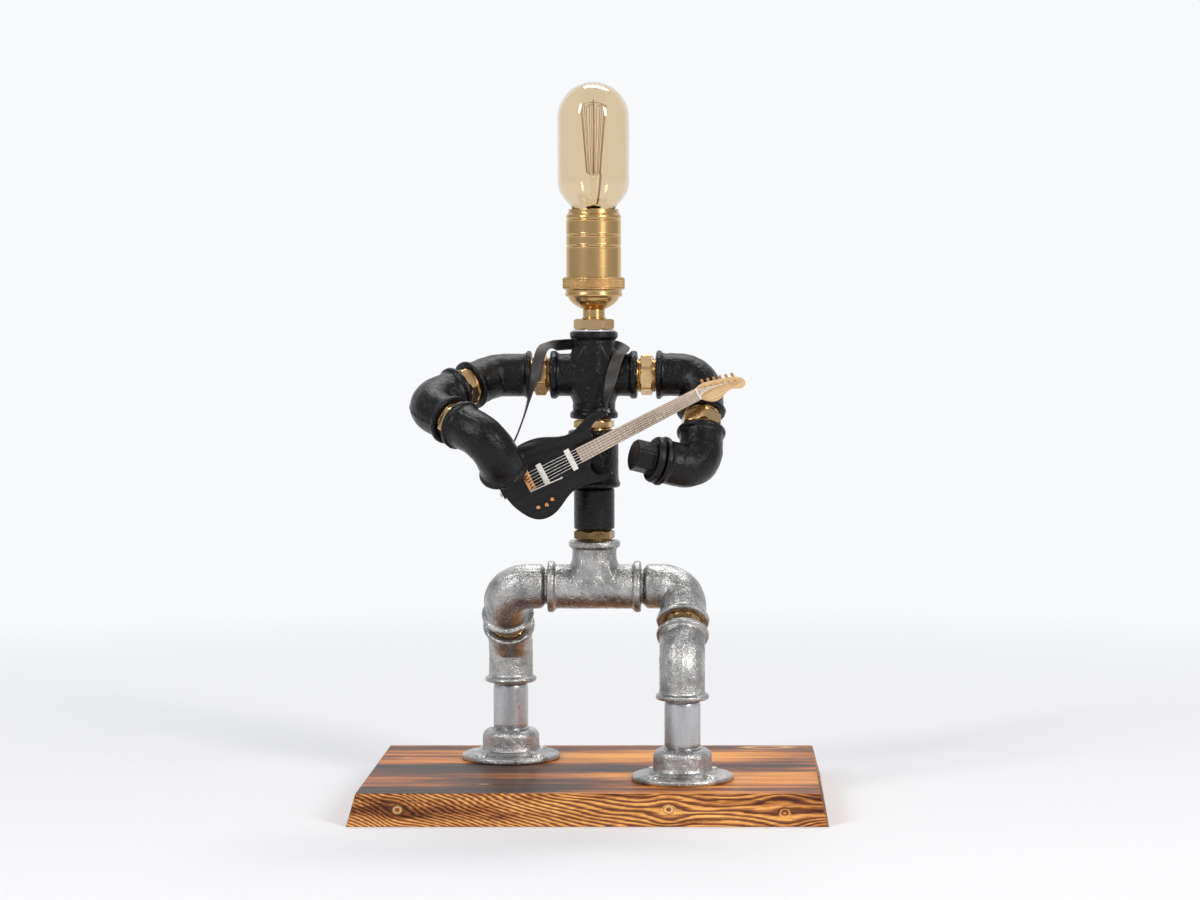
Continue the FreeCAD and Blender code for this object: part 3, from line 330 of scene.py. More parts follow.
# %% One material for each finish of the record
MATERIALS = {
    "burnt_pine": scorched_pine("scorched pine"),
    "galvanised_iron": cast_iron(
        "galvanised iron", (0.27, 0.265, 0.26), (0.56, 0.55, 0.535), 1.0, (0.22, 0.46), 0.00034),
    "galvanised_tube": galvanised_tube("galvanised tube"),
    "black_iron": cast_iron(
        "black iron", (0.0012, 0.0012, 0.0014), (0.004, 0.0038, 0.004), 0.0, (0.26, 0.42), 0.0003, 0.5, 0.04),
    "brass": bright_metal("brass", (0.66, 0.46, 0.24), (0.44, 0.28, 0.12), (0.22, 0.34)),
    "dark_brass": bright_metal("dark brass", (0.34, 0.22, 0.09), (0.10, 0.065, 0.03), (0.28, 0.5), 0.5),
    "steel": bright_metal("bright steel", (0.72, 0.71, 0.69), (0.45, 0.44, 0.43), (0.2, 0.4)),
    "tinted_glass": lamp_glass("smoked glass", (0.86, 0.76, 0.60), 1.47),
    "clear_glass": lamp_glass("clear glass", (0.98, 0.94, 0.82), 1.2),
    "filament": bright_metal("filament wire", (0.42, 0.24, 0.10), (0.22, 0.12, 0.05), (0.3, 0.5)),
    "porcelain": smooth_finish(
        "porcelain", (0.74, 0.72, 0.66), (0.86, 0.84, 0.79), (0.2, 0.3), 90, 0.0001, 0.5),
    "black_lacquer": grained_wood(
        "black lacquer", (0.001, 0.001, 0.001), (0.011, 0.0105, 0.010), (0.28, 0.42), 0.00034, 0.12, 0.22),
    "maple": grained_wood("oiled maple", (0.50, 0.29, 0.12), (0.78, 0.56, 0.31), (0.3, 0.45), 0.00004, 0.3),
    "cream_plastic": smooth_finish(
        "cream plastic", (0.76, 0.73, 0.66), (0.88, 0.85, 0.79), (0.3, 0.42), 250, 0.00003, 0.2),
    "gold_plate": bright_metal("copper gold", (0.86, 0.46, 0.20), (0.48, 0.20, 0.07), (0.18, 0.34)),
    "strings": bright_metal("wound strings", (0.95, 0.93, 0.89), (0.78, 0.75, 0.70), (0.34, 0.46)),
    "leather": leather("oiled leather"),
    "rubber": smooth_finish(
        "black rubber", (0.012, 0.012, 0.012), (0.03, 0.03, 0.03), (0.5, 0.7), 200, 0.0001),
}
TURNED_BRASS = bright_metal(
    "turned brass", (0.60, 0.39, 0.17), (0.50, 0.31, 0.125), (0.24, 0.30), 0.40, 2600, 0.00003)
PALE_MAPLE = grained_wood("pale maple", (0.34, 0.22, 0.13), (0.52, 0.37, 0.24), (0.3, 0.42), 0.00004, 0.3)
SHOWN_AS = {"guitar_stud": "black_iron", "guitar_tremolo_arm": "strings"}
for node_name, thing in frame["nodes"].items():
    if not thing.material_slots:
        thing.data.materials.append(None)
    for place_in_list in thing.material_slots:
        place_in_list.material = MATERIALS[SHOWN_AS.get(node_name, SLOT_OF[node_name])]
print("finishes", len(MATERIALS))

# %% [markdown]
# Every new piece is a grid of points, a function of two parameters. Rows follow an outline and columns go
# round it. Lengths are in millimetres until the mesh is made.

# %% Grids of points


def unit(vector):
    vector = np.asarray(vector, float)
    return vector / np.linalg.norm(vector)


def circle(count):
    return np.linspace(0, 2 * math.pi, count, endpoint=False)


def fade(value, start, width):
    """From 0 at start to 1 over this width, straight, and level outside."""
    return np.clip((value - start) / width, 0, 1)


def below(value, place, width):
    """1 below the place and 0 above it, with a smooth step of this width."""
    return 1 / (1 + np.exp((value - place) / width))


def frame_at(direction, roll=0.0):
    """Side, rise and axis of a piece drawn along +Z and laid along direction, rolled by degrees first."""
    turn = Vector((0, 0, 1)).rotation_difference(Vector(direction))
    c, s = math.cos(math.radians(roll)), math.sin(math.radians(roll))
    return np.array(turn.to_matrix()) @ np.array([[c, -s, 0], [s, c, 0], [0, 0, 1]])


def raised(points, z):
    """The same outline points, z higher."""
    return [(radius, z + height, *corner) for radius, height, *corner in points]


def rounded(points, radius=0.4, closed=True, steps=4):
    """An outline with each corner replaced by a short curve. A third number in a point is its own radius."""
    places = np.array([p[:2] for p in points], float)
    radii = [p[2] if len(p) > 2 else radius for p in points]
    made = []
    count = len(places)
    for k, here in enumerate(places):
        back = places[k - 1] - here
        ahead = places[(k + 1) % count] - here
        reach = min(radii[k], 0.48 * np.linalg.norm(back), 0.48 * np.linalg.norm(ahead))
        if reach < 1e-6 or (not closed and k in (0, count - 1)):
            made.append(here)
            continue
        a = here + unit(back) * reach
        b = here + unit(ahead) * reach
        t = np.linspace(0, 1, steps + 1)[:, None]
        made.extend((1 - t) ** 2 * a + 2 * t * (1 - t) * here + t ** 2 * b)
    return np.array(made)


def finer(outline, step, closed=True):
    """The outline with points added so that none is farther than step from the next."""
    ends = np.vstack([outline, outline[:1]]) if closed else outline
    made = []
    for a, b in zip(ends[:-1], ends[1:]):
        pieces = max(1, math.ceil(np.linalg.norm(b - a) / step))
        made.extend(a + (b - a) * k / pieces for k in range(pieces))
    if not closed:
        made.append(ends[-1])
    return np.array(made)


def rough(points, size, height, seed=0):
    """Smooth random height at each point: a sum of plane waves in random directions, size apart."""
    dice = np.random.default_rng(seed)
    waves = 18
    ways = dice.normal(size=(waves, 3))
    ways /= np.linalg.norm(ways, axis=1)[:, None]
    lengths = size * dice.uniform(0.6, 1.8, waves)
    phase = dice.uniform(0, 2 * math.pi, waves)
    total = np.zeros(points.shape[:-1])
    for way, length, start in zip(ways, lengths, phase):
        total += np.sin(points @ way * (2 * math.pi / length) + start)
    return height * total / math.sqrt(waves)


def quads_of(index):
    """Four corners of every cell of a grid of point numbers."""
    cells = np.stack([index[:-1, :-1], index[:-1, 1:], index[1:, 1:], index[1:, :-1]], -1)
    return cells.reshape(-1, 4).tolist()


def shade(mesh, sharp=None):
    mesh.shade_smooth()
    if sharp:
        mesh.set_sharp_from_angle(angle=math.radians(sharp))
    return mesh


def grid_mesh(grid, along=False, poles=False, sharp=None):
    """Mesh of a grid in millimetres, each row a ring. along also joins the last row to the first."""
    index = np.arange(grid[..., 0].size).reshape(grid.shape[:2])
    if along:
        index = np.vstack([index, index[:1]])
    index = np.hstack([index, index[:, :1]])
    mesh = bpy.data.meshes.new("grid")
    mesh.from_pydata((grid.reshape(-1, 3) * MM).tolist(), [], quads_of(index))
    if poles:
        work = bmesh.new()
        work.from_mesh(mesh)
        bmesh.ops.remove_doubles(work, verts=work.verts, dist=1e-6)
        bmesh.ops.recalc_face_normals(work, faces=work.faces)
        work.to_mesh(mesh)
        work.free()
    return shade(mesh, sharp)


def joined(meshes):
    """One mesh of several."""
    work = bmesh.new()
    for mesh in meshes:
        work.from_mesh(mesh)
    bmesh.ops.recalc_face_normals(work, faces=work.faces)
    whole = bpy.data.meshes.new("joined")
    work.to_mesh(whole)
    work.free()
    for mesh in meshes:
        bpy.data.meshes.remove(mesh)
    return whole


def dress(name, mesh, *nodes, finish=None):
    """The mesh as a piece that stands for these CAD nodes, or for the one of its name, on their body."""
    nodes = nodes or (name.replace(" ", "_"),)
    mesh.name = "skin_" + name.replace(" ", "_")
    piece = bpy.data.objects.new(mesh.name, mesh)
    bpy.context.collection.objects.link(piece)
    slot = SLOT_OF[nodes[0]]
    mesh.materials.clear()
    mesh.materials.append(finish or MATERIALS[slot])
    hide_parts(*nodes)
    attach(piece, BODY_OF[nodes[0]])


def spin(outline, origin=(0, 0, 0), direction=(0, 0, 1), columns=96, roll=0.0, shape=None, closed=True,
         grain=0.0, angles=None, sharp=None, seed=0):
    """Outline of (radius, height) turned round an axis. shape(radius, height, angle) returns a new one."""
    angle = circle(columns) if angles is None else angles
    radius = np.repeat(outline[:, :1], len(angle), 1)
    height = np.repeat(outline[:, 1:2], len(angle), 1)
    theta = np.repeat(angle[None, :], len(outline), 0)
    if shape:
        radius = shape(radius, height, theta)
    local = np.stack([radius * np.cos(theta), radius * np.sin(theta), height], -1)
    if grain:
        lift = rough(local, 5.0, grain, seed) + rough(local, 2.2, 0.5 * grain, seed + 1)
        local[..., :2] *= 1 + (lift / np.maximum(radius, 2.0))[..., None]
    grid = local @ frame_at(direction, roll).T + np.asarray(origin, float)
    return grid_mesh(grid, along=closed, poles=outline[:, 0].min() < 1e-6, sharp=sharp)


print("helpers ready")

# %% [markdown]
# The thread is the half-inch pipe thread, 14 turns to the inch. Its surface is a radius that rises and falls
# with height less the angle's share of one pitch, which winds the ridges into a helix. A hexagon nut's radius
# is what is left inside six half-planes. A power mean of the six rounds its corners a little.

# %% Threads and hexagons
PITCH = 25.4 / 14
THREAD_R = 10.4
THREAD_DEPTH = 1.0
TUBE_R = 10.65
BORE_R = 8.0
NIPPLE_BORE_R = 7.6
SCREWED_IN = 11.5
NUT_FLATS = 22.0
LEAD_IN = 0.9


def helix(radius, height, angle, depth=THREAD_DEPTH):
    """Radius less a triangle wave that runs along a helix."""
    turn = (height / PITCH - angle / (2 * math.pi)) % 1.0
    return radius - depth * np.clip(1.6 * np.abs(2 * turn - 1) - 0.3, 0, 1)


def thread_rows(low, high, radius=THREAD_R):
    """Nine outline points to each turn of a thread."""
    return [(radius, z) for z in np.arange(low, high, math.copysign(PITCH / 9, high - low))]


def hexagon(angle, flats, power=34):
    """Radius at each angle inside six half-planes, as a power mean that rounds the corners."""
    total = 0
    for k in range(6):
        facing = np.maximum(np.cos(angle - math.radians(30 + 60 * k)), 1e-3)
        total = total + (facing / (flats / 2)) ** power
    return total ** (-1 / power)


def corner_angles():
    """Angles round a hexagon, packed closer at its six corners."""
    t = np.linspace(0, 1, 16, endpoint=False)
    packed = t - 0.8 * np.sin(2 * math.pi * t) / (2 * math.pi)
    return np.concatenate([(k + packed) * math.pi / 3 for k in range(6)])


def hex_outline(flats, low, high, chamfer=0.55):
    """Outline of a nut from its chamfered lower face to its upper face."""
    corner = flats / math.sqrt(3)
    return [(flats / 2 - 0.3, low), (flats / 2 + 0.1, low + 0.05), (corner + 0.2, low + chamfer + 0.1),
            (corner + 0.2, high - chamfer - 0.1), (flats / 2 + 0.1, high - 0.05), (flats / 2 - 0.3, high)]


def hex_above(low, flats, power=34):
    """A shape for spin: a hexagon above this height and round below it."""
    return lambda radius, height, angle: np.where(
        height > low + 0.01, np.minimum(radius, hexagon(angle, flats, power)), radius)


def nipple(face, direction, gap, length, roll=0.0):
    """Hexagon nipple: a threaded tube with a nut in its middle, across a gap that starts at face."""
    reach = gap / 2 + SCREWED_IN
    half = length / 2
    upper = thread_rows(half + 0.15, reach - 0.3) + [(THREAD_R - LEAD_IN, reach)]
    lower = [(r, -z) for r, z in reversed(upper)]
    nut = rounded(hex_outline(NUT_FLATS, -half, half), 0.12, closed=False, steps=2)
    outline = np.vstack([lower, nut, upper, [(NIPPLE_BORE_R + 0.4, reach), (NIPPLE_BORE_R, reach - 0.4)],
                         [(NIPPLE_BORE_R, -reach + 0.4), (NIPPLE_BORE_R + 0.4, -reach)]])

    def shape(radius, height, angle):
        threaded = (np.abs(height) > half + 0.1) & (radius > THREAD_R - 0.95)
        cut = helix(radius, height, angle)
        wound = radius + (cut - radius) * fade(np.abs(height) - half, 0.1, 0.8)
        radius = np.where(threaded, wound, radius)
        nutted = (np.abs(height) <= half + 0.01) & (radius > THREAD_R)
        return np.where(nutted, np.minimum(radius, hexagon(angle, NUT_FLATS)), radius)

    middle = np.asarray(face, float) + unit(direction) * (gap / 2)
    return spin(outline, middle, direction, roll=roll, shape=shape, angles=corner_angles(), sharp=40)


# %% [markdown]
# An elbow is carried along its waterway: a straight run, the arc of the bend and another straight run. The
# outline goes out along the skin and back along the waterway, so one grid closes on itself. At each mouth the
# skin swells into a rounded bead. Two half moulds made it, and they never meet exactly. One half stands a
# little proud and a thin ridge of iron marks the joint, in the plane of the bend.

# %% Elbows
BEAD_WIDTH = 3.6
SOCKET_DEPTH = 12.0
RIDGE, PROUD = 0.40, 0.26


def bead(bead_r, body_r):
    """Half outline of a mouth from the lip inwards, as (radius, distance from the lip)."""
    return [(THREAD_R + 0.1, 0.7, 0.2), (THREAD_R + 0.8, 0.0, 0.3), (bead_r - 1.1, 0.0, 0.9),
            (bead_r + 0.15, 0.7, 1.2), (bead_r + 0.15, BEAD_WIDTH - 0.9, 1.3),
            (body_r + 0.2, BEAD_WIDTH + 0.3, 1.0), (body_r, BEAD_WIDTH + 2.2, 1.6)]


def path_points(centre, mouths, reaches, bend_r):
    """A function of distance along an elbow's waterway, and its length. The function gives the place and the
    two directions square to the waterway there."""
    a, b = (unit(m) for m in mouths)
    centre = np.asarray(centre, float)
    half = math.acos(np.clip(a @ b, -1, 1)) / 2
    tangent = bend_r / math.tan(half)
    sweep = math.pi - 2 * half
    middle = centre + unit(a + b) * (bend_r / math.sin(half))
    normal = unit(np.cross(a, b))
    first = reaches[0] - tangent
    arc = bend_r * sweep
    outward = unit(centre + a * tangent - middle)

    def at(s):
        turn = np.clip((s - first) / bend_r, 0, sweep)[:, None]
        side = np.cos(turn) * outward - np.sin(turn) * a
        past = np.maximum(s - first - arc, 0)[:, None] * b - np.minimum(s - first, 0)[:, None] * a
        return middle + side * bend_r + past, side, np.repeat(normal[None, :], len(s), 0)

    return at, first + arc + reaches[1] - tangent


def elbow(centre, mouths, reaches, body_r, bead_r, bend_r, street=False, open_thread=False, seed=0):
    """Closed grid of a cast elbow. A street elbow's first mouth is a threaded end without a bead."""
    at, total = path_points(centre, mouths, reaches, bend_r)
    far = [(r, total - s, c) for r, s, c in reversed(bead(bead_r, body_r))]
    near = bead(bead_r, body_r)
    if street:
        shoulder = SCREWED_IN + 1.5
        near = [(BORE_R + 0.3, 0.0, 0.2), (THREAD_R - LEAD_IN, 0.0, 0.3), (THREAD_R, 0.9, 0.3),
                (THREAD_R, shoulder, 0.4), (body_r, shoulder + 2.2, 1.6)]
    outside = finer(rounded(near + far, 0.8, closed=False), 0.9, closed=False)
    root = total - SOCKET_DEPTH
    inside = [tuple(outside[-1]), (THREAD_R + 0.1, root), (BORE_R, root - 1)]
    inside += [(BORE_R, 0.5)] if street else [(BORE_R, SOCKET_DEPTH + 1), (THREAD_R + 0.1, SOCKET_DEPTH)]
    inside = finer(rounded(inside + [tuple(outside[0])], 0.2, closed=False), 1.6, closed=False)
    if open_thread:
        threads = thread_rows(outside[-1][1] - 0.2, root, THREAD_R + 0.1)
        inside = np.vstack([threads, inside[inside[:, 1] < root]])
    else:
        inside = inside[1:-1]
    outline = np.vstack([outside, inside])
    skin = len(outside)
    angle = circle(96)
    radius = np.repeat(outline[:, :1], len(angle), 1)
    place, side, normal = at(outline[:, 1])
    s = outline[:, 1:2]
    clear = fade(s, 1.0, 2.0) * fade(total - s, 1.0, 2.0)
    if street:
        clear = clear * fade(s - SCREWED_IN, 2.5, 2.0)
    clear[skin:] = 0
    across = np.abs((angle + math.pi / 2) % math.pi - math.pi / 2)[None, :] * radius
    proud = 0.5 * (1 + np.tanh(np.sin(angle)[None, :] * radius / 0.35))
    radius = radius + clear * (RIDGE * np.exp(-(across / 0.5) ** 2) + PROUD * proud)
    if street:
        wound = (s < SCREWED_IN) & (outline[:, :1] > BORE_R + 0.5)
        radius = np.where(wound, np.minimum(radius, helix(THREAD_R, s, angle[None, :], 0.9)), radius)
    if open_thread:
        wound = (np.arange(len(outline)) >= skin)[:, None] & (s > root)
        radius = np.where(wound, helix(radius, s, -angle[None, :], 0.9), radius)
    around = np.cos(angle)[None, :, None] * side[:, None] + np.sin(angle)[None, :, None] * normal[:, None]
    grid = place[:, None, :] + radius[..., None] * around
    lift = rough(grid, 5.5, 0.075, seed) + rough(grid, 2.4, 0.04, seed + 1)
    lift[skin:] = 0
    return grid_mesh(grid + lift[..., None] * around, along=True)


# %% Places along the figure, in millimetres and degrees
UP, DOWN = np.array([0, 0, 1.0]), np.array([0, 0, -1.0])
LEFT, RIGHT = np.array([-1.0, 0, 0]), np.array([1.0, 0, 0])
FRONT, BACK = np.array([0, -1.0, 0]), np.array([0, 1.0, 0])
GREY = {"body_r": 13.3, "bead_r": 15.5}
BLACK = {"body_r": 12.7, "bead_r": 14.4}
BASE_TOP = 18.5
HUB_HEIGHT = 18.5
HIP_X, KNEE_Y, KNEE_Z, HIP_Z = 53.5, 40.659, 88.0, 128.659
GREY_REACH, STREET_REACH, KNEE_REACH = 28.0, 37.0, 22.0
BLACK_REACH, UPPER_REACH, CROSS_REACH = 27.2, 21.5, 26.0
SHOULDER_GAP, STRUM_GAP, WRIST_GAP, FRET_GAP = 11.2, 8.7, 6.0, 11.0
BEND_90, BEND_45 = 14.0, 15.0
UPPER_SLOPE, FOREARM_TURN, HAND_TURN = 24, -18.8, -49.3
FRET_SLOPE, PALM_TURN = 32.5, 153.8
CHEST = np.array([0, 0, 255.959])
HIP = np.array([0, 0, HIP_Z])


def swivel(direction, degrees):
    """The direction square to an arm's axis at this angle above the level."""
    level = unit(np.cross(UP, direction))
    rising = np.cross(direction, level)
    angle = math.radians(degrees)
    return unit(level * math.cos(angle) + rising * math.sin(angle))


def same_side(vector):
    return np.asarray(vector)


def half_turn(vector):
    return np.asarray(vector) * (-1, -1, 1)


def black_elbow(name, centre, mouths, seed, reach=BLACK_REACH, bend_r=BEND_90, open_thread=False):
    dress(name, elbow(
        centre, mouths, (reach, reach), bend_r=bend_r, open_thread=open_thread, seed=seed, **BLACK))


SHIN = unit(FRONT + DOWN)
hip_corner = HIP + RIGHT * HIP_X
knee = np.array([HIP_X, -KNEE_Y, KNEE_Z])
hips = []
knee_nuts = []
for turn, seed in ((same_side, 11), (half_turn, 12)):
    hips.append(elbow(turn(hip_corner), [turn(LEFT), turn(SHIN)], (STREET_REACH, GREY_REACH), bend_r=BEND_90,
                      street=True, seed=seed, **GREY))
    knee_nuts.append(nipple(turn(hip_corner + SHIN * GREY_REACH), turn(SHIN), 7.5, 4.4))
dress("hip elbows", joined(hips))
dress("knee nipples", joined(knee_nuts))
for name, turn, seed in (("front knee elbow", same_side, 21), ("rear knee elbow", half_turn, 24)):
    dress(name, elbow(turn(knee), [turn(-SHIN), DOWN], (KNEE_REACH,) * 2, bend_r=BEND_45, seed=seed, **GREY))

# The strumming arm from the chest to the strings
slope = math.radians(UPPER_SLOPE)
upper = unit(LEFT + FRONT * math.cos(slope) + DOWN * math.sin(slope))
at_a = CHEST + LEFT * (CROSS_REACH + SHOULDER_GAP + UPPER_REACH)
black_elbow("strum shoulder elbow", at_a, [RIGHT, upper], 31, UPPER_REACH, BEND_45)
gap = at_a + upper * UPPER_REACH
dress("strum elbow nipple", nipple(gap, upper, STRUM_GAP, 5.4, 20))
fore = swivel(upper, FOREARM_TURN)
at_b = gap + upper * (STRUM_GAP + BLACK_REACH)
black_elbow("strum forearm elbow", at_b, [-upper, fore], 33)
gap = at_b + fore * BLACK_REACH
dress("strum wrist nipple", nipple(gap, fore, WRIST_GAP, 4.4, 5))
hand = swivel(fore, HAND_TURN)
at_c = gap + fore * (WRIST_GAP + BLACK_REACH)
black_elbow("strum hand elbow", at_c, [-fore, hand], 35, open_thread=True)
print("strumming arm", at_a.round(2), at_b.round(2), at_c.round(2))

# The fretting arm from the chest to the plug
slope = math.radians(FRET_SLOPE)
lower = unit(FRONT * math.sin(slope) + DOWN * math.cos(slope))
at_d = CHEST + RIGHT * (CROSS_REACH + SHOULDER_GAP + BLACK_REACH)
black_elbow("fret shoulder elbow", at_d, [LEFT, lower], 37)
gap = at_d + lower * BLACK_REACH
dress("fret elbow nipple", nipple(gap, lower, FRET_GAP, 7.0, 20))
palm = swivel(lower, PALM_TURN)
at_f = gap + lower * (FRET_GAP + BLACK_REACH)
black_elbow("fret hand elbow", at_f, [-lower, palm], 39)
print("fretting arm", at_d.round(2), at_f.round(2))

dress("shoulder nipples", joined(
    [nipple(CHEST + way * CROSS_REACH, way, SHOULDER_GAP, 7.0, 10) for way in (RIGHT, LEFT)]))
dress("waist nipple", nipple((0, 0, 156.66), UP, 6.8, 5.2, 15))
dress("chest nipple", nipple((0, 0, 223.06), UP, 6.9, 4.4, 15))

# %% [markdown]
# The tee and the cross can't be one grid, because their tubes cross. Each starts as a merged copy of its CAD
# solid. A voxel remesh gives it even quads, smoothing melts the seams into the small fillets of a casting,
# and the sand's unevenness is then added along the normals.

# %% Tee and cross
VOXEL, CAST_HEIGHT = 0.42, 0.07


def cad_copy(node, merge, dissolve=None):
    """Mesh of a CAD node with the seams merged, and its flat facets dissolved if an angle is given."""
    work = bmesh.new()
    work.from_mesh(frame["nodes"][node].data)
    bmesh.ops.remove_doubles(work, verts=work.verts, dist=merge)
    if dissolve:
        bmesh.ops.dissolve_limit(work, angle_limit=math.radians(dissolve), verts=work.verts,
                                 edges=work.edges, use_dissolve_boundaries=False)
    mesh = bpy.data.meshes.new(node)
    work.to_mesh(mesh)
    work.free()
    mesh.materials.clear()
    return mesh


def baked(mesh, **modifiers):
    """The mesh after modifiers, each given as its kind and its settings."""
    holder = bpy.data.objects.new("holder", mesh)
    bpy.context.collection.objects.link(holder)
    for kind, settings in modifiers.items():
        made = holder.modifiers.new(kind.lower(), kind)
        for key, value in settings.items():
            setattr(made, key, value)
    bpy.context.view_layer.update()
    done = bpy.data.meshes.new_from_object(holder.evaluated_get(bpy.context.evaluated_depsgraph_get()))
    bpy.data.objects.remove(holder)
    bpy.data.meshes.remove(mesh)
    return done


def cast_block(node, seed):
    mesh = baked(cad_copy(node, 1e-6),
                 REMESH={"mode": "VOXEL", "voxel_size": VOXEL * MM, "use_smooth_shade": True},
                 SMOOTH={"factor": 0.5, "iterations": 7})
    places, normals = np.empty((2, len(mesh.vertices) * 3))
    mesh.vertices.foreach_get("co", places)
    mesh.vertices.foreach_get("normal", normals)
    places = places.reshape(-1, 3) / MM
    lift = rough(places, 5.5, CAST_HEIGHT, seed) + rough(places, 2.4, 0.5 * CAST_HEIGHT, seed + 1)
    places = (places + lift[:, None] * normals.reshape(-1, 3)) * MM
    mesh.vertices.foreach_set("co", places.ravel())
    mesh.update()
    print(node, len(mesh.vertices), "points")
    return shade(mesh)


dress("hip tee", cast_block("hip_tee", 41))
dress("chest cross", cast_block("chest_cross", 43))

# %% Flanges, tubes, sleeve, coupling and plug
FLANGE_R = 30.2
RIM = 3.4
HUB_R = 17.4
SCREW_CIRCLE = 23.8
SCREW_WAYS = [math.radians(45 + 90 * k) for k in range(4)]
FEET = ((HIP_X, -KNEE_Y), (-HIP_X, KNEE_Y))


def flange(x, y, seed):
    """Floor flange: a round plate whose four screws sit in spots, and a hub with a soft shoulder."""
    hub = HUB_HEIGHT
    outline = finer(rounded([
        (BORE_R, 0.05, 0.1), (FLANGE_R - 0.3, 0.05, 0.3), (FLANGE_R, 1.0, 0.9),
        (FLANGE_R - 0.2, RIM - 0.3, 1.2), (FLANGE_R - 2.6, RIM + 0.35, 1.2), (HUB_R + 3.6, RIM + 0.5, 1.2),
        (HUB_R + 2.0, RIM + 2.0, 0.7), (HUB_R + 0.5, RIM + 2.3, 0.5), (HUB_R, RIM + 4.4, 0.9),
        (HUB_R - 0.2, hub - 2.4, 1.8), (HUB_R - 3.0, hub, 1.6), (THREAD_R + 0.9, hub, 0.4),
        (THREAD_R + 0.1, hub - 0.8, 0.2), (THREAD_R + 0.1, 6.5, 0.2), (BORE_R, 5.5, 0.2)]), 0.6)
    angle = circle(160)
    radius = np.repeat(outline[:, :1], len(angle), 1)
    height = np.repeat(outline[:, 1:2], len(angle), 1)
    grid = np.stack([radius * np.cos(angle), radius * np.sin(angle), height], -1)
    lift = rough(grid, 6.0, 0.09, seed) + rough(grid, 2.4, 0.05, seed + 1)
    lift = lift * (fade(height, 0.8, 1.5) * fade(radius - THREAD_R, 0.3, 1.0))
    on_plate = radius > HUB_R + 1
    grid[..., 2] += lift * on_plate
    grid[..., :2] *= 1 + (lift * ~on_plate / radius)[..., None]
    for way in SCREW_WAYS:
        screw_x, screw_y = SCREW_CIRCLE * math.cos(way), SCREW_CIRCLE * math.sin(way)
        away = np.hypot(grid[..., 0] - screw_x, grid[..., 1] - screw_y)
        spot = below(away, 4.5, 0.22)
        grid[..., 2] = np.where(height > 2.5, grid[..., 2] * (1 - spot) + (RIM - 0.1) * spot, grid[..., 2])
    return grid_mesh(grid + (x, y, BASE_TOP), along=True)


def screw(x, y, turn):
    """Pan-head screw with a cross recess: the head's height dips where two slots cross it."""
    radii = np.concatenate([[0.0], np.linspace(0.12, 3.2, 26), [3.45, 3.62, 3.7, 3.7]])[:, None]
    heights = 1.55 - 0.42 * (radii / 3.7) ** 2
    heights[-4:, 0] = (1.02, 0.8, 0.5, -0.6)
    angle = circle(64)
    u, v = radii * np.cos(angle + turn), radii * np.sin(angle + turn)
    slots = [below(np.abs(a), 0.42, 0.06) * (np.abs(b) < 1.9) for a, b in ((u, v), (v, u))]
    depth = np.maximum(np.maximum(*slots) * (0.95 - 0.3 * radii), 0)
    z = np.repeat(heights, len(angle), 1) - np.where(radii < 2.2, depth, 0)
    grid = np.stack([radii * np.cos(angle), radii * np.sin(angle), z], -1)
    return grid_mesh(grid + (x, y, BASE_TOP + RIM - 0.1), poles=True, sharp=50)


dress("foot flanges", joined([flange(x, y, seed) for (x, y), seed in zip(FEET, (51, 53))]))
dress("foot screws", joined([
    screw(x + SCREW_CIRCLE * math.cos(way), y + SCREW_CIRCLE * math.sin(way), 0.7 * k + seed)
    for (x, y), seed in zip(FEET, (51, 53)) for k, way in enumerate(SCREW_WAYS)]))

TUBE_LOW, TUBE_HIGH = BASE_TOP + HUB_HEIGHT, KNEE_Z - KNEE_REACH


def tube_shape(radius, height, angle):
    """Threads that fade in past the two ends of the tube in view."""
    out = np.maximum(height - (TUBE_HIGH - 1.7), (TUBE_LOW + 1.7) - height)
    wound = (out > 0) & (radius > THREAD_R - 0.2)
    return np.where(wound, helix(radius, height, angle, THREAD_DEPTH * fade(out, 0, 1.5)), radius)


tube_foot, tube_head = TUBE_LOW - SCREWED_IN, TUBE_HIGH + SCREWED_IN
tube = np.array([
    (NIPPLE_BORE_R + 0.4, tube_foot), (THREAD_R - LEAD_IN, tube_foot),
    *thread_rows(tube_foot + 0.9, TUBE_LOW + 1.6),
    *((TUBE_R, z) for z in np.arange(TUBE_LOW + 2.0, TUBE_HIGH - 2.0, 1.5)),
    *thread_rows(TUBE_HIGH - 1.6, tube_head - 0.9),
    (THREAD_R - LEAD_IN, tube_head), (NIPPLE_BORE_R + 0.4, tube_head)])
dress("leg tubes", joined([spin(tube, (x, y, 0), shape=tube_shape, sharp=60) for x, y in FEET]), "leg_pipes")

SLEEVE_LOW, COUPLING_LOW, COUPLING_TOP = 163.459, 188.459, 223.059
low, high = SLEEVE_LOW, COUPLING_LOW
sleeve = finer(rounded([
    (THREAD_R + 0.1, low + 0.5, 0.2), (11.5, low, 0.3), (12.2, low + 0.7, 0.5), (12.2, high - 1.2, 0.8),
    (THREAD_R, high + 0.6, 0.5), (THREAD_R, high + 11.0, 0.3), (BORE_R, high + 11.0, 0.3),
    (BORE_R, low + 13, 0.3), (THREAD_R + 0.1, low + 12, 0.3)]), 1.2)
dress("torso sleeve", spin(sleeve, grain=0.02, seed=61))
low, high = COUPLING_LOW, COUPLING_TOP
coupling = finer(rounded([
    (THREAD_R + 0.1, low + 0.7, 0.2), (THREAD_R + 0.8, low, 0.3), (14.2, low, 1.0), (15.6, low + 1.0, 1.2),
    (15.6, low + 3.2, 1.2), (14.6, low + 4.9, 1.2), (14.6, high - 4.9, 1.2), (15.6, high - 3.2, 1.2),
    (15.6, high - 1.0, 1.2), (14.2, high, 1.0), (THREAD_R + 0.8, high, 0.3),
    (THREAD_R + 0.1, high - 0.7, 0.2)]), 1.0)
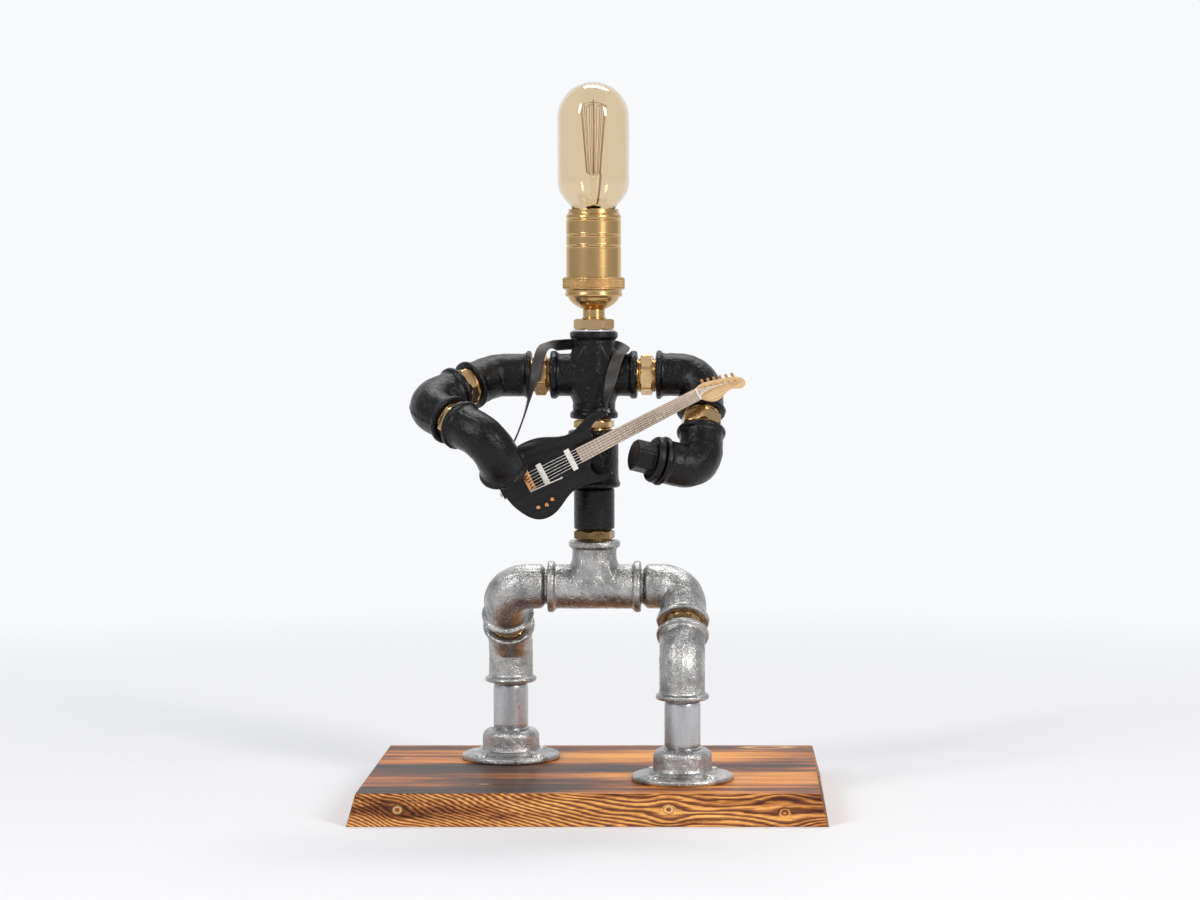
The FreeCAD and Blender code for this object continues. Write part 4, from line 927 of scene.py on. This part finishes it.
dress("torso coupling", spin(coupling, grain=0.08, seed=63))

PLUG_FLATS, PLUG_NECK, PLUG_TOP = 17.0, 5.0, 16.5
plug_head = hex_outline(PLUG_FLATS, PLUG_NECK - 0.5, PLUG_TOP, 0.9)[2:4]
plug_foot = [
    (0, -SCREWED_IN, 0), (9.6, -SCREWED_IN, 0.3), (THREAD_R - 0.1, -10.6, 0.3), (THREAD_R - 0.1, 0.4, 0.2),
    (12.9, 0.4, 0.5), (13.7, 1.4, 0.8), (13.7, 3.6, 1.0), (12.4, PLUG_NECK, 0.9), (9.2, PLUG_NECK, 0.6)]
plug_head = rounded(plug_head + [(8.4, PLUG_TOP, 0.8), (0, PLUG_TOP, 0)], 0.6, closed=False)
plug = finer(np.vstack([rounded(plug_foot, closed=False), plug_head]), 0.8, closed=False)
dress("fret hand plug", spin(
    plug, at_f + palm * BLACK_REACH, palm, roll=12, shape=hex_above(PLUG_NECK, PLUG_FLATS, 22),
    angles=corner_angles(), closed=False, grain=0.05, seed=65))
print("torso and feet dressed")

# %% [markdown]
# The lampholder is turned brass: a cap, a knurled ring and a shell with three rolled grooves. The knurl is
# two helices of opposite hand cut across each other. At each point the deeper of the two cuts wins, and what
# is left stands up as diamonds.

# %% Lampholder
WASHER_LOW, BUSHING_LOW, BUSHING_TOP = 281.959, 283.159, 289.459
CAP_LOW, CAP_TOP, RING_TOP, SHELL_TOP = 295.459, 306.759, 314.559, 355.059
STEM_R, STEM_BORE_R, HOLDER_BORE_R, BUSHING_FLATS = 6.6, 3.7, 4.98, 21.5
RING_R, RING_LOW, SHELL_R = 18.6, CAP_TOP + 0.1, 16.35
KNURL_TURNS, KNURL_CLIMB, KNURL_DEPTH = 60, 1.9, 0.8
washer = rounded([(10.48, WASHER_LOW + 0.02), (12.9, WASHER_LOW + 0.02), (13.0, BUSHING_LOW - 0.02),
                  (10.48, BUSHING_LOW - 0.02)], 0.25)
dress("neck washer", spin(washer))
bushing_head = hex_outline(BUSHING_FLATS, BUSHING_LOW + 0.02, BUSHING_TOP, 0.7)
bushing = np.vstack([
    rounded(raised([(HOLDER_BORE_R, -SCREWED_IN, 0.2), (9.6, -SCREWED_IN, 0.2), (THREAD_R - 0.2, -10.6, 0.2),
                    (THREAD_R - 0.2, 0, 0.1)], BUSHING_LOW), closed=False),
    rounded(bushing_head + [(HOLDER_BORE_R, BUSHING_TOP, 0.2)], 0.2, closed=False)])
dress("neck bushing", spin(
    bushing, shape=hex_above(BUSHING_LOW, BUSHING_FLATS), angles=corner_angles(), sharp=45))
stem = rounded([
    (STEM_BORE_R, 271.7), (4.9, 271.7), (4.9, BUSHING_TOP), (STEM_R + 0.7, BUSHING_TOP + 0.02),
    (STEM_R + 0.7, BUSHING_TOP + 0.7), (STEM_R, BUSHING_TOP + 1.0), (STEM_R, CAP_LOW - 0.6),
    (STEM_R - 0.4, CAP_LOW), (4.9, CAP_LOW), (4.9, 300.5), (STEM_BORE_R, 300.5)], 0.3)
dress("holder stem", spin(stem), finish=TURNED_BRASS)
cap_height = CAP_TOP - CAP_LOW
cap = finer(rounded(raised([
    (HOLDER_BORE_R, 0, 0.2), (STEM_R + 0.9, 0, 0.5), (STEM_R + 1.5, 0.5, 0.5), (11.9, 2.6, 2.5),
    (14.4, 5.2, 2.0), (15.3, 7.2, 0.7), (16.9, 7.5, 0.6), (17.2, 8.8, 0.7), (16.6, 9.9, 0.6),
    (16.8, cap_height, 0.2), (15.7, cap_height, 0.2), (14.4, 7.6, 1.0), (11.3, 4.0, 2.0),
    (8.0, 1.2, 0.6), (HOLDER_BORE_R, 1.1, 0.2)], CAP_LOW)), 0.8)
dress("holder cap", spin(cap, columns=128), finish=TURNED_BRASS)
ring_foot = [(16.5, RING_LOW, 0.1), (RING_R - 0.8, RING_LOW, 0.5), (RING_R, RING_LOW + 1.0, 0.4)]
ring_head = [(RING_R, RING_TOP - 1.0, 0.4), (RING_R - 0.8, RING_TOP, 0.5), (16.5, RING_TOP, 0.1)]
band = [(RING_R, z) for z in np.arange(RING_LOW + 1.1, RING_TOP - 1.05, 0.2)]
ring = np.vstack([rounded(ring_foot, closed=False), band, rounded(ring_head, closed=False)])


def knurl(radius, height, angle):
    """Radius less the deeper of two triangle waves, one along each of two crossing helices."""
    turns = angle * KNURL_TURNS / (2 * math.pi)
    cuts = [np.abs(((turns + sign * height / KNURL_CLIMB) % 1.0) * 2 - 1) for sign in (1, -1)]
    ridge = np.clip(np.minimum(*cuts) * 1.5, 0, 1)
    on_band = (height > RING_LOW + 1.05) & (height < RING_TOP - 1.0) & (radius > RING_R - 0.05)
    return np.where(on_band, radius - KNURL_DEPTH * (1 - ridge), radius)


dress("holder ring", spin(ring, columns=480, shape=knurl), finish=TURNED_BRASS)
shell = [(SHELL_R, CAP_TOP + 0.2, 0.1)]
for groove in (18.5, 25.0, 34.5):
    shell += raised([(SHELL_R, -1.3, 0.4), (SHELL_R + 0.16, -0.95, 0.3), (SHELL_R - 0.62, -0.1, 0.5),
                     (SHELL_R + 0.12, 0.8, 0.3), (SHELL_R, 1.2, 0.4)], RING_TOP + groove)
shell += raised([
    (SHELL_R, -3.9, 0.6), (15.0, -2.4, 0.5), (14.95, -0.35, 0.3), (14.6, 0, 0.3), (14.25, -0.3, 0.3),
    (14.25, -2.6, 0.3), (15.6, -4.2, 0.3)], SHELL_TOP) + [(15.6, CAP_TOP + 0.2, 0.1)]
dress("holder shell", spin(finer(rounded(shell), 1.0), columns=128), finish=TURNED_BRASS)
print("lampholder dressed")

# %% [markdown]
# The bulb is blown from tube: a round crown, a straight body and a neck that draws in to the cap. The same
# outline one wall thinner is the inside. The filament is one wire strung as a cage between two rings of
# hooks, on a clear stem. A wire is a circle carried along a path, with a frame that turns as little as it
# can.

# %% Bulb
BULB_TOP, BULB_R, NECK_R, WALL = 430.559, 21.4, 12.4, 0.8
MOUNT_LOW, MOUNT_TOP = 344.759, 372.759
CAGE_LOW, CAGE_HIGH, CAGE_RUNS, CAGE_SPAN = MOUNT_TOP + 4.0, MOUNT_TOP + 44.0, 14, 330
CAGE_FOOT_R, CAGE_HEAD_R = 4.2, 7.6
CAGE_WIRE_R, ROD_R, HOOK_R, LEAD_R = 0.17, 0.32, 0.11, 0.3


def wire(points, radius, sides=10):
    """Circle carried along a path. Each frame is the last one, turned only as far as the path turns."""
    points = np.asarray(points, float)
    ahead = np.gradient(points, axis=0)
    ahead /= np.maximum(np.linalg.norm(ahead, axis=1), 1e-9)[:, None]
    side = unit(np.cross(ahead[0], (0.3, 0.2, 0.9)))
    sides_at = []
    for way in ahead:
        side = unit(side - way * (side @ way))
        sides_at.append(side)
    side = np.array(sides_at)
    up = np.cross(ahead, side)
    angle = circle(sides)
    ring = np.cos(angle)[None, :, None] * side[:, None] + np.sin(angle)[None, :, None] * up[:, None]
    ends = [np.repeat(points[k][None, None], sides, 1) for k in (0, -1)]
    return grid_mesh(np.concatenate([ends[0], points[:, None] + radius * ring, ends[1]]))


def smooth_path(points, step=0.5):
    """Catmull-Rom curve through points, sampled about every step."""
    points = np.asarray(points, float)
    ends = np.vstack([2 * points[0] - points[1], points, 2 * points[-1] - points[-2]])
    made = []
    for k in range(1, len(ends) - 2):
        a, b, c, d = ends[k - 1:k + 3]
        pieces = max(2, math.ceil(np.linalg.norm((c - b)[:3]) / step))
        t = np.arange(pieces)[:, None] / pieces
        made.append(0.5 * (2 * b + (c - a) * t + (2 * a - 5 * b + 4 * c - d) * t ** 2
                           + (3 * b - a - 3 * c + d) * t ** 3))
    return np.vstack(made + [points[-1:]])


def bulb_outline(inset):
    """From the crown down to the neck, inset from the outer skin."""
    r = BULB_R - inset
    turn = np.linspace(0, math.pi / 2, 24)
    crown = np.stack([r * np.sin(turn), BULB_TOP - BULB_R + r * np.cos(turn)], -1)
    body = np.array([(r, z) for z in np.linspace(BULB_TOP - BULB_R, SHELL_TOP + 15.0, 14)[1:-1]])
    low = smooth_path(raised([(r, 15.0), (r - 1.2, 10.4), (r - 4.0, 5.9), (NECK_R + 1.0 - inset, 1.2),
                              (NECK_R - inset, -2.2), (NECK_R - inset, -11.0)], SHELL_TOP), 0.8)
    return np.vstack([crown, body, low])


glass = np.vstack([bulb_outline(0), bulb_outline(WALL)[::-1]])
dress("bulb glass", spin(glass, columns=128, closed=False))
mount = rounded(raised([
    (0, 0.3, 0), (9.6, 0.3, 0.6), (8.6, 4.0, 2.0), (5.2, 8.0, 3.0), (3.2, 12.5, 2.0), (2.9, 17.0, 1.5),
    (1.7, 19.5, 1.5), (1.5, 27.4, 0.8), (2.5, 28.5, 1.0), (2.5, 30.0, 1.0), (0, 30.9, 0),
], MOUNT_LOW), closed=False)


def pressed(radius, height, angle):
    """The stem is pinched flat where it seals the leads."""
    pinch = np.exp(-((height - MOUNT_LOW - 14.5) / 3.2) ** 2)
    return radius * (1 + pinch * 0.34 * np.cos(2 * angle))


dress("bulb stem", spin(finer(mount, 0.8, closed=False), shape=pressed, closed=False), "bulb_mount")


def cage_way(run):
    """Direction of a run of the cage, which goes most of the way round."""
    angle = math.radians(CAGE_SPAN * run / (CAGE_RUNS - 1))
    return np.array([math.cos(angle), math.sin(angle), 0])


def held_wire(radius, sides, out, *places):
    """A thin wire through (distance out, height) places."""
    return wire(smooth_path([UP * height + out * away for away, height in places], 0.6), radius, sides)


cage = []
for k in range(CAGE_RUNS):
    ends = [cage_way(k) * CAGE_FOOT_R + UP * CAGE_LOW, cage_way(k) * CAGE_HEAD_R + UP * CAGE_HIGH]
    cage += ends[::-1] if k % 2 else ends
turns = []
for a, b in zip(cage[:-1], cage[1:]):
    pieces = max(2, int(np.linalg.norm(b - a)))
    turns += [a + (b - a) * k / pieces for k in range(pieces)]
turns.append(cage[-1])
dress("bulb filament", wire(turns, CAGE_WIRE_R, 6))
held = [wire([(0, 0, MOUNT_TOP + 2.6), (0, 0, MOUNT_TOP + 20), (0, 0, CAGE_HIGH + 3.2)], ROD_R, 12)]
for k in range(7):
    out = cage_way(2 * k + 0.5)
    held.append(held_wire(HOOK_R, 6, out, (0, CAGE_HIGH + 1.8), (3.5, CAGE_HIGH + 1.6),
                          (7.3, CAGE_HIGH + 0.3), (7.5, CAGE_HIGH - 0.5)))
    held.append(held_wire(HOOK_R, 6, out, (0, MOUNT_TOP + 1.8), (2.2, CAGE_LOW - 1.2), (4.0, CAGE_LOW - 0.2)))
for run in (0, CAGE_RUNS - 1):
    held.append(held_wire(LEAD_R, 8, cage_way(run), (2.1, MOUNT_LOW + 13), (3.4, MOUNT_LOW + 19),
                          (4.6, CAGE_LOW - 3), (4.3, CAGE_LOW)))
dress("bulb supports", joined(held))
print("bulb dressed")

# %% [markdown]
# The strap is a leather ribbon. Its middle runs through chosen stations as one smooth curve, and its width
# turns with it. The outline of its section is a flat oval, thicker in the middle, with the edges rubbed
# round. Each station is a place, the direction of the width, and the width itself.

# %% Strap
STRAP_STATIONS = (
    (8.45, -24.4, 232.4, 0, -1, 0, 6.4), (8.45, -24.4, 237.8, 0, -1, 0, 6.4),
    (8.8, -21.8, 243.0, 0.5, -0.85, 0, 6.4), (9.9, -18.4, 249.5, 0.95, -0.35, 0, 6.8),
    (11.8, -16.4, 257.5, 1, -0.05, 0.05, 7.0), (15.0, -11.8, 267.5, 1, 0.15, 0.1, 7.0),
    (17.8, -4.0, 270.8, 1, 0.25, 0.1, 7.0), (17.4, 6.0, 271.9, 0.9, 0.4, 0.3, 6.8),
    (11.0, 14.8, 273.2, 0.45, -0.2, 0.9, 6.6), (0.0, 17.6, 274.3, 0, 0, 1, 6.6),
    (-12.0, 13.8, 274.1, -0.35, -0.3, 0.9, 6.6), (-21.6, 6.5, 273.6, -0.6, -0.6, 0.45, 6.6),
    (-29.4, -3.2, 272.7, -0.95, -0.2, 0.1, 6.6), (-32.4, -11.7, 265.4, -1, 0, 0, 6.6),
    (-34.2, -16.5, 256.0, -0.9, 0.4, 0, 6.4), (-37.2, -18.8, 244.0, -0.35, 0.95, 0, 6.4),
    (-40.8, -20.2, 231.5, -0.1, 1, 0, 6.4), (-45.8, -21.4, 218.5, 0, 1, 0, 6.4),
    (-51.6, -22.6, 209.6, 0, 1, 0, 6.4), (-55.9, -23.6, 200.6, 0, 1, 0, 6.4),
    (-55.9, -24.2, 193.0, 0, 1, 0, 6.4), (-51.4, -24.4, 183.2, 0, 1, 0, 6.4),
)
STRAP_HALF_THICK = 0.5
track = smooth_path(np.array(STRAP_STATIONS), 1.2)
middle, wide, width = track[:, :3], track[:, 3:6], track[:, 6]
ahead = np.gradient(middle, axis=0)
ahead /= np.linalg.norm(ahead, axis=1)[:, None]
wide = wide - ahead * (wide * ahead).sum(1)[:, None]
wide /= np.linalg.norm(wide, axis=1)[:, None]
thick = np.cross(ahead, wide)
angle = circle(40)
flat = np.sign(np.cos(angle)) * np.abs(np.cos(angle)) ** 0.35
rise = np.sign(np.sin(angle)) * np.abs(np.sin(angle)) ** 0.8
grid = (middle[:, None] + wide[:, None] * (flat[None, :] * width[:, None] / 2)[..., None]
        + thick[:, None] * (rise * STRAP_HALF_THICK)[None, :, None])
grid = grid + (rough(grid, 9.0, 0.08, 71) * (1 - 0.5 * np.abs(flat))[None, :])[..., None] * thick[:, None]
ends = [np.repeat(grid[k].mean(0)[None, None], len(angle), 1) for k in (0, -1)]
dress("strap", grid_mesh(np.concatenate([ends[0], grid, ends[1]])))
print("strap length", round(float(np.linalg.norm(np.diff(middle, axis=0), axis=1).sum())), "mm")

# %% [markdown]
# The guitar's flat pieces keep their CAD outlines. Each is a merged copy with its flat facets dissolved into
# whole faces, and a bevel then rounds the edges, as sanding does.

# %% Guitar
BEVEL_LIMIT = 32


def softened(node, width):
    """Merged copy of a CAD node with rounded edges."""
    mesh = baked(cad_copy(node, 2e-6, 1.0), BEVEL={
        "width": width * MM, "segments": 3, "limit_method": "ANGLE", "angle_limit": math.radians(BEVEL_LIMIT),
        "harden_normals": True, "use_clamp_overlap": True})
    return shade(mesh, BEVEL_LIMIT + 8)


for piece, width in (("body", 0.9), ("neck", 0.5), ("fretboard", 0.12), ("nut", 0.12), ("pickups", 0.3),
                     ("bridge", 0.15)):
    finish = PALE_MAPLE if piece == "fretboard" else None
    dress("guitar " + piece, softened("guitar_" + piece, width), finish=finish)
print("guitar dressed")

# %% [markdown]
# The board is a grid for its top, one for each slanted side and one underneath, welded along their edges.
# The phase of the growth rings is worked out at every point: long lazy bands on the top, steep narrow ones
# on the front where the saw met the rings at a slant, and arcs on the two ends. Each knot parts the lines
# round itself. The phase is kept on the mesh for the colour, and also moves the surface, since a wire brush
# hollows the soft wood between the lines. A knot is two coordinates, a size, and how far it is a pale ring.

# %% Base board
BASE_LENGTH, BASE_DEPTH, BASE_BEVEL, EDGE_ROUND = 277.0, 192.0, 5.0, 0.7
GROMMET_SEAT_R, GROMMET_SEAT_Y, GROMMET_Z, SEAT_REACH = 6.3, 90.5, 8.5, 9.0
FRONT_KNOTS = ((-109.2, 9.4, 3.6, 1.0), (46.4, 9.6, 3.6, 1.0), (113.0, 8.0, 5.5, 0.0))
TOP_KNOTS = ((105.0, 83.0, 9.0, 1.0), (-62.0, -58.0, 4.0, 0.6), (70.0, -78.0, 4.0, 0.5),
             (-118.0, 40.0, 4.5, 0.6))
TOP_RING, FRONT_RING, END_RING = 7.5, 1.9, 3.2
WELD = 2e-6


def parted(u, v, knots, stretch):
    """Coordinates drawn in towards each knot, so that lines part round it. Also the share of the knot's own
    rings, their distance from its middle, and how far its eye shows as a paler ring."""
    eye, own, shown = np.zeros((3, *u.shape))
    for at_u, at_v, size, paler in knots:
        away = np.hypot((u - at_u) / stretch, v - at_v)
        pull = 0.8 * np.exp(-(away / (2.1 * size)) ** 2)
        u, v = u - (u - at_u) * pull, v - (v - at_v) * pull
        near = np.exp(-(away / (0.62 * size)) ** 2) * (0.4 + 0.6 * paler)
        curl = 0.16 * np.arctan2(v - at_v, u - at_u) * (1 - paler)
        own = np.where(near > eye, away / 1.3 + curl, own)
        shown = np.where(near > eye, near * paler, shown)
        eye = np.maximum(eye, near)
    return u, v, eye, own, shown


def top_rings(points):
    """Bands along the board that drift a little, with the knots' own rings blended in."""
    u, v, eye, own, shown = parted(points[..., 0], points[..., 1], TOP_KNOTS, 3.2)
    drift = rough(points * (0.07, 0.6, 0.0), 16, 3.2, 81) + rough(points * (0.10, 1.0, 0.0), 5, 0.8, 82)
    blend = np.clip(eye * 1.6, 0, 1)
    return (v + drift + 0.02 * u) / TOP_RING * (1 - blend) + own * 0.5 * blend, shown


def side_rings(points):
    """Level bands at the front's right that turn into steep narrow ones at its left."""
    x, z = points[..., 0], points[..., 2]
    u, v, eye, own, shown = parted(x, z, FRONT_KNOTS, 1.25)
    level = 1 / (1 + np.exp(-(u - 4) / 22))
    slant = 0.36 * (u - 22 * np.log1p(np.exp((u - 4) / 22)))
    bent = np.stack([u, points[..., 1], v], -1)
    drift = rough(bent * (0.30, 0.2, 1.0), 16, 0.7, 83) + rough(bent * (0.22, 0.2, 1.0), 9, 1.0, 84) * level
    blend = np.clip(eye * 1.6 - 0.25, 0, 1)
    return (v + slant + drift) / (FRONT_RING + 0.7 * level) * (1 - blend) + own * blend, shown


def end_rings(points):
    """Arcs round a heart that lay below the board."""
    y, z = points[..., 1], points[..., 2]
    away = np.hypot(y - 18, (z + 70) * 1.1) + rough(points, 20, 0.6, 85)
    return away / END_RING, np.zeros_like(y)


def board_side(start, end, out, ends):
    """One slanted side from corner to corner of the top: straight rows that move out as they go down."""
    profile = rounded([
        (0, 0, 0), (EDGE_ROUND, 0, 0.7), (EDGE_ROUND + BASE_BEVEL * 0.96, -BASE_TOP * 0.98, 0),
        (0.65 + BASE_BEVEL, -BASE_TOP + 0.3, 0.3), (0.3 + BASE_BEVEL, -BASE_TOP, 0)], closed=False)
    profile = finer(profile, 0.7, closed=False)
    across, down = profile[:, :1], profile[:, 1:]
    along = unit(end - start)
    t = np.linspace(0, 1, math.ceil(np.linalg.norm(end - start)) + 1)
    grid = (start + (end - start) * t[:, None])[None] + out * across[..., None]
    grid = grid + along * (across * (2 * t - 1)[None])[..., None] + UP * down[..., None]
    phase, heart = end_rings(grid) if ends else side_rings(grid)
    reach = (grid @ along).max(axis=1, keepdims=True) - np.abs(grid @ along)
    deep = fade(-down, 0, 0.8) * fade(BASE_TOP + down, 0, 0.8)
    groove = 0.5 - 0.5 * np.cos(2 * math.pi * phase)
    brushed = 0.5 if ends else 0.22
    lift = -brushed * groove * (1 - np.clip(heart * 2, 0, 1)) + rough(grid, 6, 0.03, 88) - 0.06
    lift = deep * fade(reach, 0.5, 1.5) * lift
    return grid + lift[..., None] * out, phase, heart, np.repeat(np.clip(deep * 3, 0, 1), len(t), 1)


def board():
    """The top, the four sides and the underside as grids that share their edges. The underside is the lowest
    rim drawn in step by step to the middle."""
    half_x, half_y = BASE_LENGTH / 2 - BASE_BEVEL - EDGE_ROUND, BASE_DEPTH / 2 - BASE_BEVEL - EDGE_ROUND
    spans = [np.linspace(-half, half, math.ceil(2 * half) + 1) for half in (half_x, half_y)]
    top = np.stack(np.meshgrid(*spans), -1)
    top = np.dstack([top, np.full(top.shape[:2], BASE_TOP)])
    phase, heart = top_rings(top)
    inward = fade(np.minimum(half_x - np.abs(top[..., 0]), half_y - np.abs(top[..., 1])), 0, 3.0)
    top[..., 2] += inward * (0.05 * np.cos(2 * math.pi * phase) - 0.05) + inward * rough(
        top * (0.1, 1, 1), 3, 0.03, 86)
    signs = ((-1, -1), (1, -1), (1, 1), (-1, 1))
    corners = [np.array([sign_x * half_x, sign_y * half_y, BASE_TOP]) for sign_x, sign_y in signs]
    patches = [(top, phase, heart, np.zeros_like(phase))]
    for k, out in enumerate((FRONT, RIGHT, BACK, LEFT)):
        patches.append(board_side(corners[k], corners[(k + 1) % 4], out, k % 2 == 1))
    rim = np.vstack([patch[0][-1] for patch in patches[1:]])
    foot = rim[None] * (np.linspace(1, 0, 14)[:, None, None] * (1, 1, 0) + (0, 0, 1))
    patches.append((foot, *top_rings(foot + (40.0, 11.0, 0.0)), np.ones(foot.shape[:2])))
    points, quads, count = [], [], 0
    for grid, *_ in patches:
        quads += quads_of(np.arange(grid[..., 0].size).reshape(grid.shape[:2]) + count)
        points.append(grid.reshape(-1, 3))
        count += grid[..., 0].size
    mesh = bpy.data.meshes.new("board")
    mesh.from_pydata((np.vstack(points) * MM).tolist(), [], quads)
    for k, name in enumerate(("rings", "heart", "side"), 1):
        values = np.concatenate([patch[k].ravel() for patch in patches])
        mesh.attributes.new(name, "FLOAT", "POINT").data.foreach_set("value", values.astype(np.float32))
    work = bmesh.new()
    work.from_mesh(mesh)
    bmesh.ops.remove_doubles(work, verts=work.verts, dist=WELD)
    bmesh.ops.dissolve_degenerate(work, edges=work.edges, dist=1e-7)
    bmesh.ops.recalc_face_normals(work, faces=work.faces)
    open_edges = sum(not e.is_manifold for e in work.edges)
    work.to_mesh(mesh)
    work.free()
    print("board", len(mesh.vertices), "points,", open_edges, "open edges")
    return shade(mesh, 50)


def bored(mesh):
    """The board with a round seat cut into its back for the grommet, just deeper than its flange."""
    drill = np.array([(0, 0), (GROMMET_SEAT_R, 0), (GROMMET_SEAT_R, SEAT_REACH), (0, SEAT_REACH)], float)
    seat = (-HIP_X, GROMMET_SEAT_Y, GROMMET_Z)
    cutter = bpy.data.objects.new("cutter", spin(drill, seat, BACK, columns=64, closed=False))
    bpy.context.collection.objects.link(cutter)
    mesh = baked(mesh, BOOLEAN={"operation": "DIFFERENCE", "object": cutter, "solver": "EXACT"})
    bpy.data.objects.remove(cutter)
    print("bored board", len(mesh.vertices), "points")
    return shade(mesh, 50)


dress("base board", bored(board()))

# %% [markdown]
# A pale floor that runs up behind the lamp keeps the horizon out of the picture. Away from the lamp it glows
# a little for the camera, as an overexposed backdrop does. Two tall soft boxes stand in front, one on each
# side, and draw the two upright highlights on every tube. A third lights the edges from behind and above.

# %% Floor, world and lights
FLOOR_HALF, WALL_AT, WALL_ROUND, WALL_TOP = 3.0, 2.4, 0.8, 3.5
LAMP_MIDDLE = (0, 0, 0.22)


def make_floor():
    turn = np.linspace(0, math.pi / 2, 16)[1:]
    start = WALL_AT - WALL_ROUND
    back = [(-FLOOR_HALF, 0.0), (start, 0.0)]
    back += [(start + WALL_ROUND * math.sin(t), WALL_ROUND - WALL_ROUND * math.cos(t)) for t in turn]
    back += [(WALL_AT, WALL_TOP)]
    points = [(x, y, z) for y, z in back for x in (-FLOOR_HALF, FLOOR_HALF)]
    faces = [(2 * k, 2 * k + 1, 2 * k + 3, 2 * k + 2) for k in range(len(back) - 1)]
    mesh = bpy.data.meshes.new("floor")
    mesh.from_pydata(points, [], faces)
    floor = bpy.data.objects.new("floor", mesh)
    bpy.context.collection.objects.link(floor)
    material, tree, shader, place = new_material("floor")
    fill(tree, shader, {"Base Color": (0.86, 0.86, 0.87, 1), "Roughness": 0.9})
    ray = add_node(tree, "LightPath").outputs
    seen = maths(tree, "MAXIMUM", ray["Is Camera Ray"], ray["Is Glossy Ray"])
    seen = maths(tree, "MAXIMUM", seen, ray["Is Transmission Ray"])
    away = add_node(tree, "VectorMath", {0: place}, operation="LENGTH").outputs["Value"]
    far = times(tree, times(tree, maths(tree, "SUBTRACT", away, 0.3), 1.3, clamp=True), seen)
    pale = add_node(tree, "Emission", {"Color": (0.94, 0.95, 0.97, 1), "Strength": 1.0})
    mixed = add_node(tree, "MixShader", {0: far, 1: shader.outputs[0], 2: pale.outputs[0]})
    fill(tree, tree.nodes["Material Output"], {"Surface": mixed.outputs[0]})
    mesh.materials.append(material)


def make_world():
    """White where the camera looks at it, dimmer where it only lights or is mirrored."""
    world = bpy.data.worlds.new("studio")
    bpy.context.scene.world = world
    world.use_nodes = True
    tree = world.node_tree
    ray = add_node(tree, "LightPath").outputs
    clear = maths(tree, "MAXIMUM", ray["Is Camera Ray"], ray["Is Transmission Ray"])
    seen = maths(tree, "MAXIMUM", clear, times(tree, ray["Is Glossy Ray"], 0.2))
    strength = plus(tree, times(tree, seen, 0.55), 0.42)
    fill(tree, tree.nodes["Background"], {"Color": (0.93, 0.95, 1.0, 1), "Strength": strength})


def make_light(name, place, size, power, colour=(1, 1, 1)):
    data = bpy.data.lights.new(name, "AREA")
    data.shape = "RECTANGLE"
    data.size, data.size_y = size
    data.energy = power
    data.color = colour
    lamp = bpy.data.objects.new(name, data)
    lamp.location = place
    lamp.rotation_euler = (Vector(LAMP_MIDDLE) - Vector(place)).to_track_quat("-Z", "Y").to_euler()
    bpy.context.collection.objects.link(lamp)


make_floor()
make_world()
make_light("key", (1.15, -1.25, 0.95), (0.26, 0.8), 17, (1.0, 0.97, 0.93))
make_light("left", (-1.05, -1.05, 1.15), (0.24, 0.8), 11)
make_light("top", (0.1, 0.7, 1.6), (1.0, 0.35), 10)
print("lights", sorted(light.name for light in bpy.data.lights))
